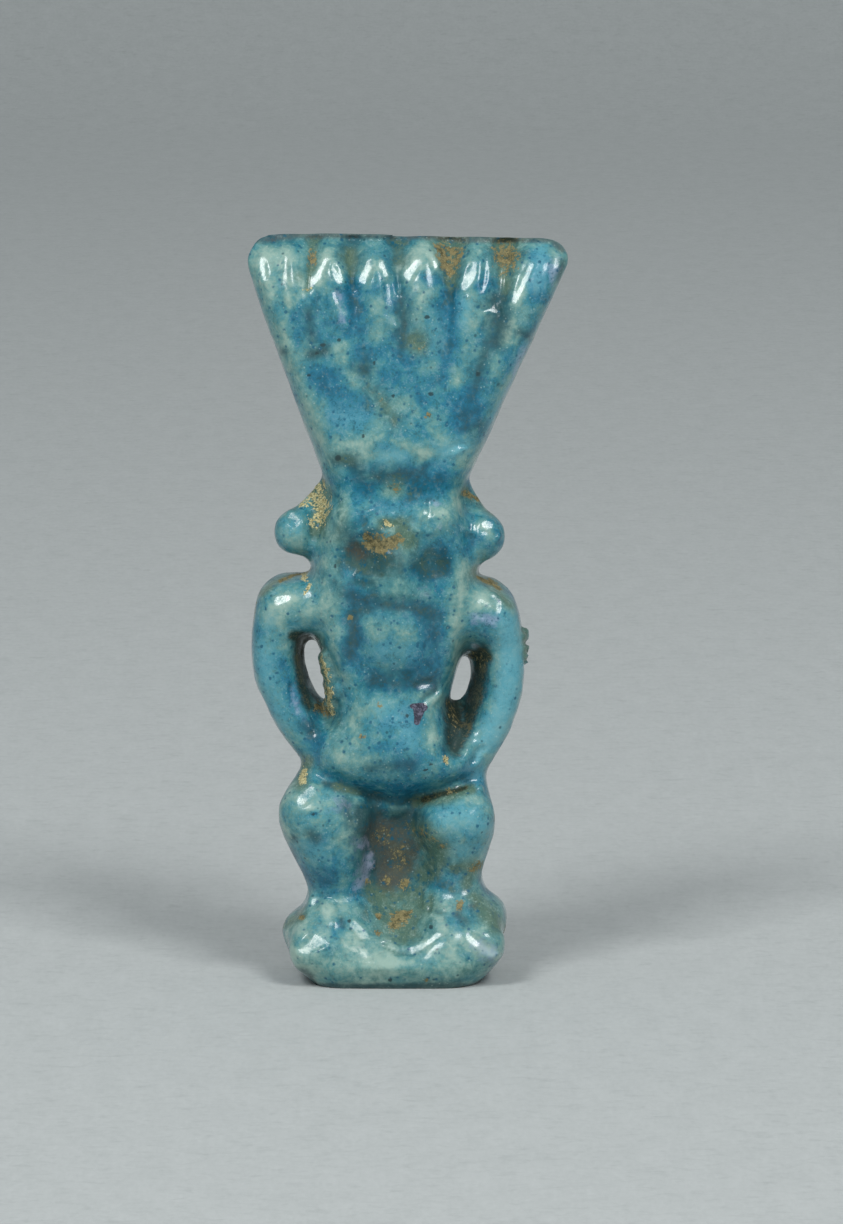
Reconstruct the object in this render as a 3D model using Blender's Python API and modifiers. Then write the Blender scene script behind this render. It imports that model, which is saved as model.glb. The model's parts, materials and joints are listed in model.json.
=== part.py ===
"""A moulded and glazed amulet: a squat bandy-legged figure with a tall fan of plumes, on its own low base.

The figure is one piece. It is built up as clay is, from rounded lumps that are fused and smoothed, then
pressed and pinched for the face, beard and plumes. The front faces -Y, +Z is up, and the origin is the centre
of the underside.
"""

import math

import bmesh
import bpy
from mathutils import Matrix, Vector

MM = 0.001

# Driving sizes
HEIGHT = 34.0 * MM  # underside to the highest plume
BASE_WIDTH = 9.8 * MM
BASE_DEPTH = 8.2 * MM
BASE_HEIGHT = 1.8 * MM  # underside to the front rim
BASE_CORNER = 2.7 * MM  # rounding of the base's corners, seen from above
BASE_EDGE = 1.9 * MM  # how far the underside's outline lies inside the widest one at the sides
BASE_FRONT_EDGE = 0.9 * MM  # and in front and behind
STRING_HOLE = 1.3 * MM  # across the hole of the suspension lug
LUG_WALL = 0.75 * MM  # material round the hole
LUG_WIDTH = 3.2 * MM  # the lug's length along the hole
LUG_FILLET = 0.4 * MM  # how far the lug's foot spreads on the crown

# How finely the clay is fused, and how far each smoothing softens it
GRAIN = 0.17 * MM
FUSING_BLUR = 0.34 * MM  # after the lumps are fused
FINISHING_BLUR = 0.17 * MM  # after the details are pressed in
BALL_SUBDIVISIONS = 4
HOLE_SIDES = 24
GLANCING, FACING = 0.1, 0.5  # a tool slides off where the surface turns less to it, and bites where it does
TRIANGLES = 9400

# The figure's own unit: a hundredth of its height above the base's rim. Forms are in these shares.
SHARE = (HEIGHT - BASE_HEIGHT) / 100

GLAZE_COLOUR = (0.15, 0.42, 0.48, 1.0)
GLAZE_ROUGHNESS = 0.18

LEFT, RIGHT = -1, 1  # as seen from the front

# The crown of plumes: a flat fan whose top runs down a little to the right. Each is x, z and a corner radius.
CROWN_TOP = {LEFT: (-17.0, 96.1, 4.0), RIGHT: (21.5, 96.3, 3.0)}
CROWN_BULGE = {LEFT: (-15.4, 89.3, 3.4), RIGHT: (18.0, 89.3, 3.2)}
CROWN_WAIST = {LEFT: (-5.9, 65.8, 4.0), RIGHT: (6.1, 65.8, 4.0)}
CROWN_TOP_Y, CROWN_WAIST_Y = 1.2, 0.7
CROWN_TOP_THICKNESS, CROWN_WAIST_THICKNESS = 8.6, 14.6
CROWN_SWELLING = (1.0, 2.4, 82.0, 13.0, 4.6, 12.0)  # a low swelling of the crown's back: x, y, z and radii
LUG_Z = 67.0

# The furrows between the plumes: an open V at the crown's top, then a groove that runs to the middle and
# fades. Each station down a furrow is its z, how far it keeps from the middle, its half width against the
# furrows' spacing, and its depth.
FURROWS_X = (-17.2, -12.0, -6.1, 0.5, 7.8, 15.5)
FURROWS_DEPTH = (0.45, 0.8, 1.0, 0.8, 1.15, 1.1)  # against the stations' depths
FURROW_CENTRE_X = 1.5
FURROW_STATIONS = (
    (99.8, 1.0, 0.41, 1.4), (97.0, 0.98, 0.34, 2.0), (93.0, 0.94, 0.24, 1.9), (86.0, 0.82, 0.22, 1.2),
    (74.0, 0.6, 0.2, 0.0),
)
TIPS_FROM_Z, TIPS_TO_Z, TIPS_DEPTH = 89.6, 99.6, 3.6  # how far up the plumes curve back, and how far back

# Ears: x, y, z and radius of the round knob at the tip, and of the upper and lower ends of the root behind it
EARS = {
    LEFT: ((-13.9, -0.8, 57.8, 3.5), (-9.0, 2.4, 63.2, 2.4), (-10.8, 1.6, 54.8, 2.0)),
    RIGHT: ((12.1, -0.8, 57.3, 3.7), (8.9, 2.4, 62.8, 2.4), (11.0, 1.6, 54.2, 1.9)),
}
EAR_NECK = 0.7  # the radius inside the knob that the root grows from, as a share of the knob's

# Arms, from the shoulder by the elbow to the hand on the hip: x, z, radius
ARMS = {
    LEFT: (
        (-15.8, 47.2, 3.9), (-17.3, 43.0, 3.1), (-16.9, 37.6, 3.1), (-14.8, 32.6, 2.9), (-12.2, 29.0, 3.0),
        (-10.2, 26.8, 3.2),
    ),
    RIGHT: (
        (13.2, 45.9, 4.2), (15.6, 42.3, 2.6), (15.7, 36.0, 2.5), (14.1, 31.2, 2.6), (11.8, 27.6, 2.8),
        (9.8, 25.2, 3.0),
    ),
}
ARM_FRONT_Y, ARM_BACK_Y = -1.6, 3.0
ARM_BACK_GROWTH = {LEFT: 0.6, RIGHT: 1.3}  # how much thicker and nearer the body an arm is behind

# Webs that close the gap behind each arm, at the hand and under the shoulder: x and z of their corners
WEBS = {
    LEFT: (
        ((-15.0, 31.6), (-8.4, 31.2), (-10.0, 27.0), (-7.0, 27.0)), ((-14.6, 44.0), (-9.0, 44.0)),
    ),
    RIGHT: (
        ((14.2, 31.4), (6.8, 31.4), (11.0, 26.0), (6.6, 26.0)), ((13.8, 41.8), (8.0, 42.0)),
    ),
}
WEB_Y, WEB_RADIUS = 3.4, 1.9

# Legs: x, y, z, radius of the thigh, knee, calf and ankle
LEGS = {
    LEFT: (
        (-9.4, -1.4, 20.6, 5.6), (-10.6, -3.4, 17.8, 6.0), (-8.8, -3.0, 12.6, 5.3), (-8.2, -2.4, 7.4, 3.8),
    ),
    RIGHT: (
        (8.0, -1.4, 20.2, 5.4), (8.9, -3.4, 16.8, 5.3), (8.3, -2.4, 11.2, 4.2), (8.1, -2.2, 8.0, 4.1),
    ),
}
LEG_DEPTH = 1.1
# The broad caps of the knees: x, y, z and the three radii of the outer and the inner end
KNEECAPS = {
    LEFT: ((-12.4, -4.6, 18.6, 4.3, 4.6, 4.6), (-7.4, -4.8, 17.8, 4.3, 4.8, 4.6)),
    RIGHT: ((10.3, -4.6, 17.8, 3.9, 4.6, 4.4), (6.8, -4.8, 17.2, 3.9, 4.8, 4.4)),
}

# Feet: x, y, z, radius of the ankle and of the outer and inner toes
FEET = {
    LEFT: ((-8.4, -2.6, 6.0, 3.7), (-11.8, -8.4, -0.6, 3.5), (-6.6, -9.0, -1.0, 3.2)),
    RIGHT: ((8.3, -2.4, 6.4, 4.1), (12.2, -8.2, 0.4, 3.6), (6.8, -9.0, -0.8, 3.2)),
}
# Where the base is widest, and how far below the underside it reaches before it is cut, against its height
BASE_WIDEST, BASE_SUNK = 0.6, 0.6
# The lumps of the base outside and behind the feet: x, y, z and the three radii
# The slope between the feet and the ridge that leads from it to each ankle: x, y, z and the three radii
SLOPE = ((4.0, -0.6, 4.4, 3.0, 4.2, 3.8), (4.0, -8.8, -1.8, 3.0, 3.0, 2.2))
INSTEP = (6.2, -1.9, 5.7, 4.0, 4.2, 4.0)
BEHIND_FEET = {LEFT: (-12.6, -1.6, 1.2, 3.6, 7.2, 3.2), RIGHT: (12.4, -1.6, 2.8, 3.6, 7.2, 4.0)}

# The sunk frame of the beard, and the crease under the belly: x, z, half width and depth along each
BEARD_FRAME = (
    (-5.9, 40.6, 2.0, 0.9), (-5.8, 46.4, 2.1, 0.9), (-3.0, 48.2, 2.4, 0.6), (3.4, 48.0, 2.4, 0.6),
    (5.9, 46.0, 2.2, 1.0), (6.0, 40.6, 2.1, 1.0), (3.6, 38.4, 2.0, 0.4), (-3.6, 38.4, 2.0, 0.3),
    (-5.9, 40.6, 2.0, 0.9),
)
BELLY_CREASE = (
    (-10.2, 23.8, 1.8, 0.7), (-4.6, 22.1, 1.9, 0.9), (0.4, 20.6, 2.0, 0.8), (4.4, 21.0, 2.0, 1.4),
    (10.5, 23.2, 1.7, 1.7),
)


def clear_scene():
    for obj in list(bpy.data.objects):
        bpy.data.objects.remove(obj, do_unlink=True)


def new_collection(name):
    collection = bpy.data.collections.new(name)
    bpy.context.scene.collection.children.link(collection)
    return collection


def place(x, y, z):
    """A point given in shares, x and y from the middle and z above the base's rim."""
    return Vector((x * SHARE, y * SHARE, BASE_HEIGHT + z * SHARE))


def ball(x, y, z, rx, ry=None, rz=None):
    """A ball of clay in shares, as the centre and radii that lay_skin takes. One radius makes it round."""
    return place(x, y, z), Vector((rx, ry or rx, rz or rx)) * SHARE


def lay_skin(clay, *balls):
    """Adds the convex skin drawn round some balls, each a centre and three radii in metres."""
    dots = bmesh.new()
    for centre, radii in balls:
        shape = Matrix.Translation(centre) @ Matrix.Diagonal((*radii, 1.0))
        bmesh.ops.create_icosphere(dots, subdivisions=BALL_SUBDIVISIONS, radius=1.0, matrix=shape)
    skin = bmesh.new()
    for dot in dots.verts:
        skin.verts.new(dot.co)
    bmesh.ops.convex_hull(skin, input=skin.verts)
    loose = [vert for vert in skin.verts if not vert.link_faces]
    bmesh.ops.delete(skin, geom=loose, context="VERTS")
    mesh = bpy.data.meshes.new("skin")
    skin.to_mesh(mesh)
    clay.from_mesh(mesh)
    bpy.data.meshes.remove(mesh)
    skin.free()
    dots.free()


def lay_chain(clay, *balls):
    """Adds a limb: one skin round each pair of neighbouring balls."""
    for pair in zip(balls, balls[1:]):
        lay_skin(clay, *pair)


def add_base(clay):
    """A low oval pillow, widest at its rim. It reaches below the underside, which is cut flat later."""
    rim = BASE_CORNER
    foot = BASE_CORNER - BASE_EDGE
    across = BASE_WIDTH / 2 - rim
    back = BASE_DEPTH / 2 - rim
    balls = []
    for side in (LEFT, RIGHT):
        for end in (-1, 1):
            above = Vector((side * across, end * back, BASE_HEIGHT * BASE_WIDEST))
            below = Vector((side * across, end * (back + BASE_EDGE - BASE_FRONT_EDGE), 0))
            balls.append((above, Vector((rim, rim, BASE_HEIGHT - above.z))))
            balls.append((below, Vector((foot, foot, BASE_HEIGHT * BASE_SUNK))))
    lay_skin(clay, *balls)


def add_legs(clay):
    between_feet = []
    for side in (LEFT, RIGHT):
        joints = [ball(x, y, z, r, r * LEG_DEPTH, r) for x, y, z, r in LEGS[side]]
        calf = ball(side * 7.8, 2.6, 11.0, 4.4, 4.6, 5.0)
        heel = ball(side * 8.2, 2.6, 2.6, 4.4, 4.6, 4.0)
        seat = ball(side * 7.2, 3.2, 20.6, 5.6, 5.4, 5.4)
        lay_chain(clay, *joints)
        lay_skin(clay, *(ball(*cap) for cap in KNEECAPS[side]))
        lay_chain(clay, seat, calf, heel)
        lay_skin(clay, joints[1], seat)
        lay_skin(clay, joints[-1], calf, heel)
        lay_skin(clay, heel, ball(*BEHIND_FEET[side]))
        slope, rim, instep = [ball(side * x, *rest) for x, *rest in (*SLOPE, INSTEP)]
        lay_skin(clay, slope, rim, instep, *(ball(*lump) for lump in FEET[side]))
        between_feet += [slope, rim]
    lay_skin(clay, *between_feet)
    lay_skin(clay, *(ball(side * 4.0, 1.4, z, 4.0, 5.4, 3.0) for side in (LEFT, RIGHT) for z in (5.0, 19.0)))


def add_body(clay):
    hips = [ball(side * 8.0, 1.2, 24.4, 5.2, 7.2, 4.0) for side in (LEFT, RIGHT)]
    waist = [ball(-4.0, 0.6, 33.0, 4.6, 7.4, 4.0), ball(2.4, 0.6, 33.0, 4.6, 7.4, 4.0)]
    shoulders = [ball(-8.0, 1.0, 47.0, 4.2, 6.6, 4.2), ball(7.2, 1.0, 47.0, 4.2, 6.6, 4.2)]
    lay_skin(clay, *hips, *waist)
    lay_skin(clay, *waist, *shoulders)
    lay_skin(clay, ball(-4.4, -2.8, 26.8, 7.4, 6.6, 5.6), ball(4.2, -2.8, 26.6, 7.2, 6.6, 5.4))
    lay_skin(clay, ball(-0.6, -3.8, 27.4, 8.0, 6.6, 6.8), ball(-0.8, -1.8, 35.6, 7.0, 6.2, 6.0))
    lay_skin(clay, ball(-0.2, -2.0, 21.2, 4.0, 4.6, 4.0), ball(-0.2, -1.0, 26.0, 5.0, 5.0, 5.0))


def add_arms(clay):
    for side in (LEFT, RIGHT):
        neck = [ball(side * 8.4, y, 47.8, 4.0) for y in (ARM_FRONT_Y, ARM_BACK_Y)]
        joints = [neck]
        growth = ARM_BACK_GROWTH[side]
        for x, z, r in ARMS[side]:
            front = ball(x, ARM_FRONT_Y, z, r)
            back = ball(x - side * growth, ARM_BACK_Y, z, r + growth)
            joints.append([front, back])
        for upper, lower in zip(joints, joints[1:]):
            lay_skin(clay, *upper, *lower)
        for corners in WEBS[side]:
            lay_skin(clay, *(ball(x, WEB_Y, z, WEB_RADIUS) for x, z in corners))


def add_head(clay):
    forehead = [ball(side * 5.8, -1.3, 59.8, 4.2, 6.5, 4.6) for side in (LEFT, RIGHT)]
    cheeks = [ball(side * 7.4, -0.4, 53.6, 4.2, 6.6, 4.2) for side in (LEFT, RIGHT)]
    lay_skin(clay, *forehead, *cheeks)
    mane = [ball(-8.2, -0.8, 47.6, 3.8, 6.0, 4.0), ball(7.4, -0.8, 47.6, 3.8, 6.0, 4.0)]
    lay_skin(clay, *cheeks, *mane)
    beard = [ball(-5.6, -2.0, 39.6, 3.6, 5.6, 3.2), ball(4.4, -2.0, 39.6, 3.6, 5.6, 3.2)]
    lay_skin(clay, *mane, *beard)
    lay_skin(clay, ball(-0.3, -1.6, 53.6, 9.4, 7.0, 8.0), ball(-0.3, -2.2, 44.6, 8.2, 6.8, 8.0))
    for side in (LEFT, RIGHT):
        (x, y, z, r), *root = EARS[side]
        lay_skin(clay, ball(x, y, z, r))
        lay_skin(clay, ball(x, y, z, r * EAR_NECK), *(ball(*lobe) for lobe in root))


def add_crown(clay):
    top_half, waist_half = CROWN_TOP_THICKNESS / 2, CROWN_WAIST_THICKNESS / 2
    fan = []
    for side in (LEFT, RIGHT):
        for (x, z, r), y, half in (
            (CROWN_TOP[side], CROWN_TOP_Y, top_half),
            (CROWN_BULGE[side], CROWN_TOP_Y, top_half * 1.1),
            (CROWN_WAIST[side], CROWN_WAIST_Y, waist_half),
        ):
            fan.append(ball(x, y, z, r, half, r))
    lay_skin(clay, *fan)
    lay_skin(clay, ball(*CROWN_SWELLING))


def lug_centre():
    """The middle of the string hole, just clear of the back of the crown's foot."""
    back = place(0, CROWN_WAIST_Y + CROWN_WAIST_THICKNESS / 2, LUG_Z)
    return back + Vector((0, STRING_HOLE / 2, 0))


def add_lug(clay):
    """A rounded lug behind the crown's foot. The string hole is later bored through it from side to side."""
    centre = lug_centre()
    radius = STRING_HOLE / 2 + LUG_WALL
    end = Vector((LUG_WIDTH / 2 - LUG_WALL, 0, 0))
    inwards = Vector((0, -STRING_HOLE, 0))
    ring = [(centre + side * end, Vector((LUG_WALL, radius, radius))) for side in (LEFT, RIGHT)]
    rooted = Vector((LUG_WALL, radius, radius + LUG_FILLET))
    root = [(centre + side * (end + Vector((LUG_FILLET, 0, 0))) + inwards, rooted) for side in (LEFT, RIGHT)]
    lay_skin(clay, *ring, *root)


def grip(vert, into):
    """How far a tool pushed along Y, into the front or into the back, bites at a point: from 0 to 1."""
    turned = -vert.normal.y * into
    return min(max((turned - GLANCING) / (FACING - GLANCING), 0.0), 1.0)


def press(clay, x, z, rx, rz, depth, flatness=1):
    """Presses an oval hollow into the front, or raises a swelling with a negative depth, all in shares.

    A flatness above 1 makes its floor flat and its sides steep.
    """
    middle = place(x, 0, z)
    for vert in clay.verts:
        across = (vert.co.x - middle.x) / (rx * SHARE)
        up = (vert.co.z - middle.z) / (rz * SHARE)
        reach = across * across + up * up
        if reach < 1:
            vert.co.y += grip(vert, 1) * depth * SHARE * (1 - reach**flatness) ** 2


def furrow(clay, *stations, back=False):
    """Drags a furrow across the front, or the back.

    Each station on its way is an x, z, half width and depth in shares. A negative depth raises a ridge.
    """
    into = -1 if back else 1
    legs = []
    for (x0, z0, width0, depth0), (x1, z1, width1, depth1) in zip(stations, stations[1:]):
        first = place(x0, 0, z0)
        run = place(x1, 0, z1) - first
        legs.append((first, run, run.length_squared, width0, width1 - width0, depth0, depth1 - depth0))
    for vert in clay.verts:
        deepest = 0.0
        for first, run, square, width, widening, depth, deepening in legs:
            dx, dz = vert.co.x - first.x, vert.co.z - first.z
            share = min(max((dx * run.x + dz * run.z) / square, 0.0), 1.0)
            aside, beyond = dx - run.x * share, dz - run.z * share
            half = (width + widening * share) * SHARE
            reach = (aside * aside + beyond * beyond) / (half * half)
            if reach < 1:
                cut = (depth + deepening * share) * (1 - reach) ** 2
                deepest = max(deepest, cut, key=abs)
        if deepest:
            vert.co.y += into * grip(vert, into) * deepest * SHARE


def press_plumes(clay):
    """Curves the plumes' tips back, and parts them by furrows that fade towards the crown's foot."""
    start = place(0, 0, TIPS_FROM_Z).z
    for vert in clay.verts:
        rise = (vert.co.z - start) / ((TIPS_TO_Z - TIPS_FROM_Z) * SHARE)
        if rise > 0:
            vert.co.y += grip(vert, 1) * TIPS_DEPTH * SHARE * rise * rise
    for number, (x, strength) in enumerate(zip(FURROWS_X, FURROWS_DEPTH)):
        near = FURROWS_X[max(number - 1, 0) : number + 2]
        spacing = (near[-1] - near[0]) / (len(near) - 1)
        stations = []
        for z, spread, fullness, depth in FURROW_STATIONS:
            across = FURROW_CENTRE_X + (x - FURROW_CENTRE_X) * spread
            stations.append((across, z, spacing * fullness, depth * strength))
        furrow(clay, *stations)


def press_face(clay):
    """The worn mask: a low brow, hollow eyes beside a blunt nose, the muzzle, and the framed beard below."""
    furrow(clay, (-6.0, 67.8, 3.4, 0.3), (7.0, 67.8, 3.4, 0.35))
    furrow(clay, (-4.0, 71.2, 3.2, -0.4), (6.0, 71.2, 3.2, -0.5))
    press(clay, -6.4, 61.0, 4.6, 3.6, -0.5)
    press(clay, 6.6, 61.0, 5.0, 3.8, -0.6)
    press(clay, -0.8, 57.0, 5.0, 5.0, -0.9)
    press(clay, -4.9, 55.0, 4.4, 4.6, 1.5)
    press(clay, 5.0, 53.6, 4.6, 4.0, 1.5)
    press(clay, 0.2, 51.2, 7.8, 3.4, -0.5)
    furrow(clay, *BEARD_FRAME)
    furrow(clay, (-10.8, 63.4, 1.6, 1.0), (-11.4, 57.0, 1.6, 0.8))
    furrow(clay, (10.2, 62.4, 1.6, 0.7), (10.6, 57.0, 1.6, 0.6))


def press_body(clay):
    """The gaps beside the forearms, the crease under the belly and the hollows between the legs."""
    furrow(clay, (9.6, 36.0, 2.8, 2.2), (8.0, 28.0, 2.6, 3.0))
    furrow(clay, (-10.6, 36.0, 2.2, 1.6), (-10.0, 31.6, 2.0, 2.0))
    furrow(clay, *BELLY_CREASE)
    press(clay, 1.0, 13.6, 5.6, 7.0, 0.8)
    furrow(clay, (1.0, 8.6, 5.6, 0.8), (1.8, 1.0, 3.2, 0.9))


def press_back(clay):
    """Plain modelling behind: the furrow of the spine and the parting of the seat."""
    furrow(clay, (0, 46.0, 3.0, 0.5), (0, 29.0, 2.6, 0.9), back=True)
    furrow(clay, (0, 25.0, 1.8, 0.6), (0, 16.0, 2.2, 0.9), back=True)


def fused(clay, collection):
    """The lumps as one closed skin, in a new mesh."""
    mesh = bpy.data.meshes.new("lumps")
    clay.to_mesh(mesh)
    lumps = bpy.data.objects.new("lumps", mesh)
    collection.objects.link(lumps)
    fuse = lumps.modifiers.new("Fuse", "REMESH")
    fuse.mode = "VOXEL"
    fuse.voxel_size = GRAIN
    whole = baked(lumps)
    bpy.data.objects.remove(lumps)
    return whole


def baked(obj):
    """The object's mesh with its modifiers applied."""
    graph = bpy.context.evaluated_depsgraph_get()
    return bpy.data.meshes.new_from_object(obj.evaluated_get(graph))


def smooth(clay, blur):
    """Softens the skin over about the given length. Its squares are a grain wide; a round spreads half."""
    for _ in range(round((2 * blur / GRAIN) ** 2)):
        bmesh.ops.smooth_vert(
            clay, verts=clay.verts, factor=0.5, use_axis_x=True, use_axis_y=True, use_axis_z=True
        )
    clay.normal_update()


def thinned(mesh, collection):
    """The mesh with as few triangles as the sizes at the top allow."""
    dense = bpy.data.objects.new("dense", mesh)
    collection.objects.link(dense)
    thin = dense.modifiers.new("Thin", "DECIMATE")
    thin.ratio = min(1.0, TRIANGLES / (2 * len(mesh.polygons)))
    light = baked(dense)
    bpy.data.objects.remove(dense)
    return light


def cut_underside(mesh):
    """Cuts the base off flat at z = 0, so that the amulet stands."""
    body = bmesh.new()
    body.from_mesh(mesh)
    everything = body.verts[:] + body.edges[:] + body.faces[:]
    cut = bmesh.ops.bisect_plane(
        body, geom=everything, plane_co=(0, 0, 0), plane_no=(0, 0, -1), clear_outer=True
    )
    rim = [part for part in cut["geom_cut"] if isinstance(part, bmesh.types.BMEdge)]
    bmesh.ops.edgeloop_fill(body, edges=rim)
    bmesh.ops.triangulate(body, faces=body.faces)
    bmesh.ops.recalc_face_normals(body, faces=body.faces)
    body.to_mesh(mesh)
    body.free()


def glaze_material():
    material = bpy.data.materials.new("turquoise glaze")
    material.use_nodes = True
    shader = material.node_tree.nodes["Principled BSDF"]
    shader.inputs["Base Color"].default_value = GLAZE_COLOUR
    shader.inputs["Roughness"].default_value = GLAZE_ROUGHNESS
    shader.inputs["Metallic"].default_value = 0.0
    return material


def string_hole_cutter(collection):
    """The drill that bores the lug from side to side."""
    bpy.ops.mesh.primitive_cylinder_add(
        vertices=HOLE_SIDES,
        radius=STRING_HOLE / 2,
        depth=LUG_WIDTH * 3,
        location=lug_centre(),
        rotation=(0, math.radians(90), 0),
    )
    drill = bpy.context.object
    drill.name = "string_hole_drill"
    for owner in list(drill.users_collection):
        owner.objects.unlink(drill)
    collection.objects.link(drill)
    drill.hide_render = True
    drill.display_type = "WIRE"
    return drill


def build_amulet():
    parts = new_collection("deity amulet")
    cutters = new_collection("cutters")
    clay = bmesh.new()
    add_base(clay)
    add_legs(clay)
    add_body(clay)
    add_arms(clay)
    add_head(clay)
    add_crown(clay)
    add_lug(clay)
    whole = fused(clay, parts)
    clay.clear()

    clay.from_mesh(whole)
    smooth(clay, FUSING_BLUR)
    press_plumes(clay)
    press_face(clay)
    press_body(clay)
    press_back(clay)
    smooth(clay, FINISHING_BLUR)
    clay.to_mesh(whole)
    clay.free()

    mesh = thinned(whole, parts)
    cut_underside(mesh)
    mesh.name = "amulet"
    mesh.materials.clear()
    mesh.materials.append(glaze_material())
    mesh.shade_smooth()
    amulet = bpy.data.objects.new("amulet", mesh)
    parts.objects.link(amulet)
    bore = amulet.modifiers.new("String hole", "BOOLEAN")
    bore.operation = "DIFFERENCE"
    bore.object = string_hole_cutter(cutters)
    return amulet


clear_scene()
build_amulet()
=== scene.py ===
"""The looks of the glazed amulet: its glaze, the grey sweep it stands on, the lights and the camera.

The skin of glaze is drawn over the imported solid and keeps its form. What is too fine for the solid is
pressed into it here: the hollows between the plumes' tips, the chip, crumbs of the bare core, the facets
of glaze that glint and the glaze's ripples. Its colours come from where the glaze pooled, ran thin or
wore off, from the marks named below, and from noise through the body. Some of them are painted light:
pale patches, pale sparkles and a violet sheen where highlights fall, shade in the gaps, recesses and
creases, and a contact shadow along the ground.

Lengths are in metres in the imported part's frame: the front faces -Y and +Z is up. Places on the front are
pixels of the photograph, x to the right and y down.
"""

import json
import math

import bmesh
import bpy
import numpy as np
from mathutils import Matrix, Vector, noise
from mathutils.bvhtree import BVHTree

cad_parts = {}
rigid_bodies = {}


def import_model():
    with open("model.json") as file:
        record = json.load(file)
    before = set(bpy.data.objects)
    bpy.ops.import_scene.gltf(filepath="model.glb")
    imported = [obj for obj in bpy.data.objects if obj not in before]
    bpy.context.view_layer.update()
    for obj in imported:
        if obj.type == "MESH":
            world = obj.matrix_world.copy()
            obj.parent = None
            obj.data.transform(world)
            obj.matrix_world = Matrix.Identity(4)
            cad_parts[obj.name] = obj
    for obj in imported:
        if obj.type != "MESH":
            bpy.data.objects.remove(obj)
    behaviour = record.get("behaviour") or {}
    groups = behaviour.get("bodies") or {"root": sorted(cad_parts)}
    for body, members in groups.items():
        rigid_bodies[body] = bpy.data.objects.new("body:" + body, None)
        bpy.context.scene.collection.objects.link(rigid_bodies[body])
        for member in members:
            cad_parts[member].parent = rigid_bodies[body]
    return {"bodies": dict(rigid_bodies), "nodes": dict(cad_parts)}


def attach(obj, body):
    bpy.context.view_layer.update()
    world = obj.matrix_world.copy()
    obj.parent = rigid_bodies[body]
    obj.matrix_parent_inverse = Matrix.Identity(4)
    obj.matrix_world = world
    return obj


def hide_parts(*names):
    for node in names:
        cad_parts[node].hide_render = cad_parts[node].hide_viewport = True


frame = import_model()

MM = 0.001

# The photograph and the camera that took it
PHOTO_WIDTH, PHOTO_HEIGHT = 843, 1224
SENSOR = 36.0  # millimetres of the camera's own sensor, along the photograph's height
LENS = 259.3
CAMERA_DISTANCE = 400 * MM
CAMERA_ELEVATION = math.radians(8)
CLIP_START, CLIP_END = 10 * MM, 10.0
AIM = Vector((1.19 * MM, 0, 16.57 * MM / math.cos(CAMERA_ELEVATION)))
TO_CAMERA = Vector((0, -math.cos(CAMERA_ELEVATION), math.sin(CAMERA_ELEVATION)))
PHOTO_UP = Vector((0, math.sin(CAMERA_ELEVATION), math.cos(CAMERA_ELEVATION)))

# The two softboxes, which mirror each other, and the light of the room
SOFTBOX_ASIDE = 0.3
SOFTBOX_PLACE = (-0.5, 0.57)  # how far in front of the amulet and how high
SOFTBOX_SIZE = 0.24
SOFTBOX_POWER = 3.12
ROOM_COLOUR = (0.9, 0.95, 1.0, 1.0)
ROOM_STRENGTH = 0.32

# The skin of glaze
WELD = 0.001 * MM
SKIN_GRAIN = 0.125 * MM
SKIN_BLUR = 0.26 * MM  # takes the solid's facets away
FACETS_KEPT = 0.53  # how much of each smoothing round is taken back, so that the form doesn't shrink
FOOT = 0.04 * MM  # what lies lower than this and faces down is the flat underside
RIPPLES = ((2.1 * MM, 0.040 * MM), (1.0 * MM, 0.030 * MM), (0.5 * MM, 0.014 * MM))  # spacing and height
NOISE_SHIFT = (7.3, 3.1, 5.7)  # how far apart the noises of two seeds lie

# How far the skin turns towards the camera where a mark on it begins and where it is whole
FACING_FROM, FACING_TO = -0.05, 0.3
FACING_FADE = 0.35
SEEN_LIFT = 0.5 * MM  # how far ahead of the skin it is asked what hides it
SEEN_BLUR = 4

# How gaps are found: one point in this many casts rays, so far and from so high, and then comes a blur
GAP_STEP = 9
GAP_REACH = 3.0 * MM
GAP_LIFT = 0.05 * MM
GAP_BLUR = 14
GAP_RAYS = ((15, 3), (42, 6), (68, 7))  # degrees off the normal, and how many rays lean that far

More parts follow.
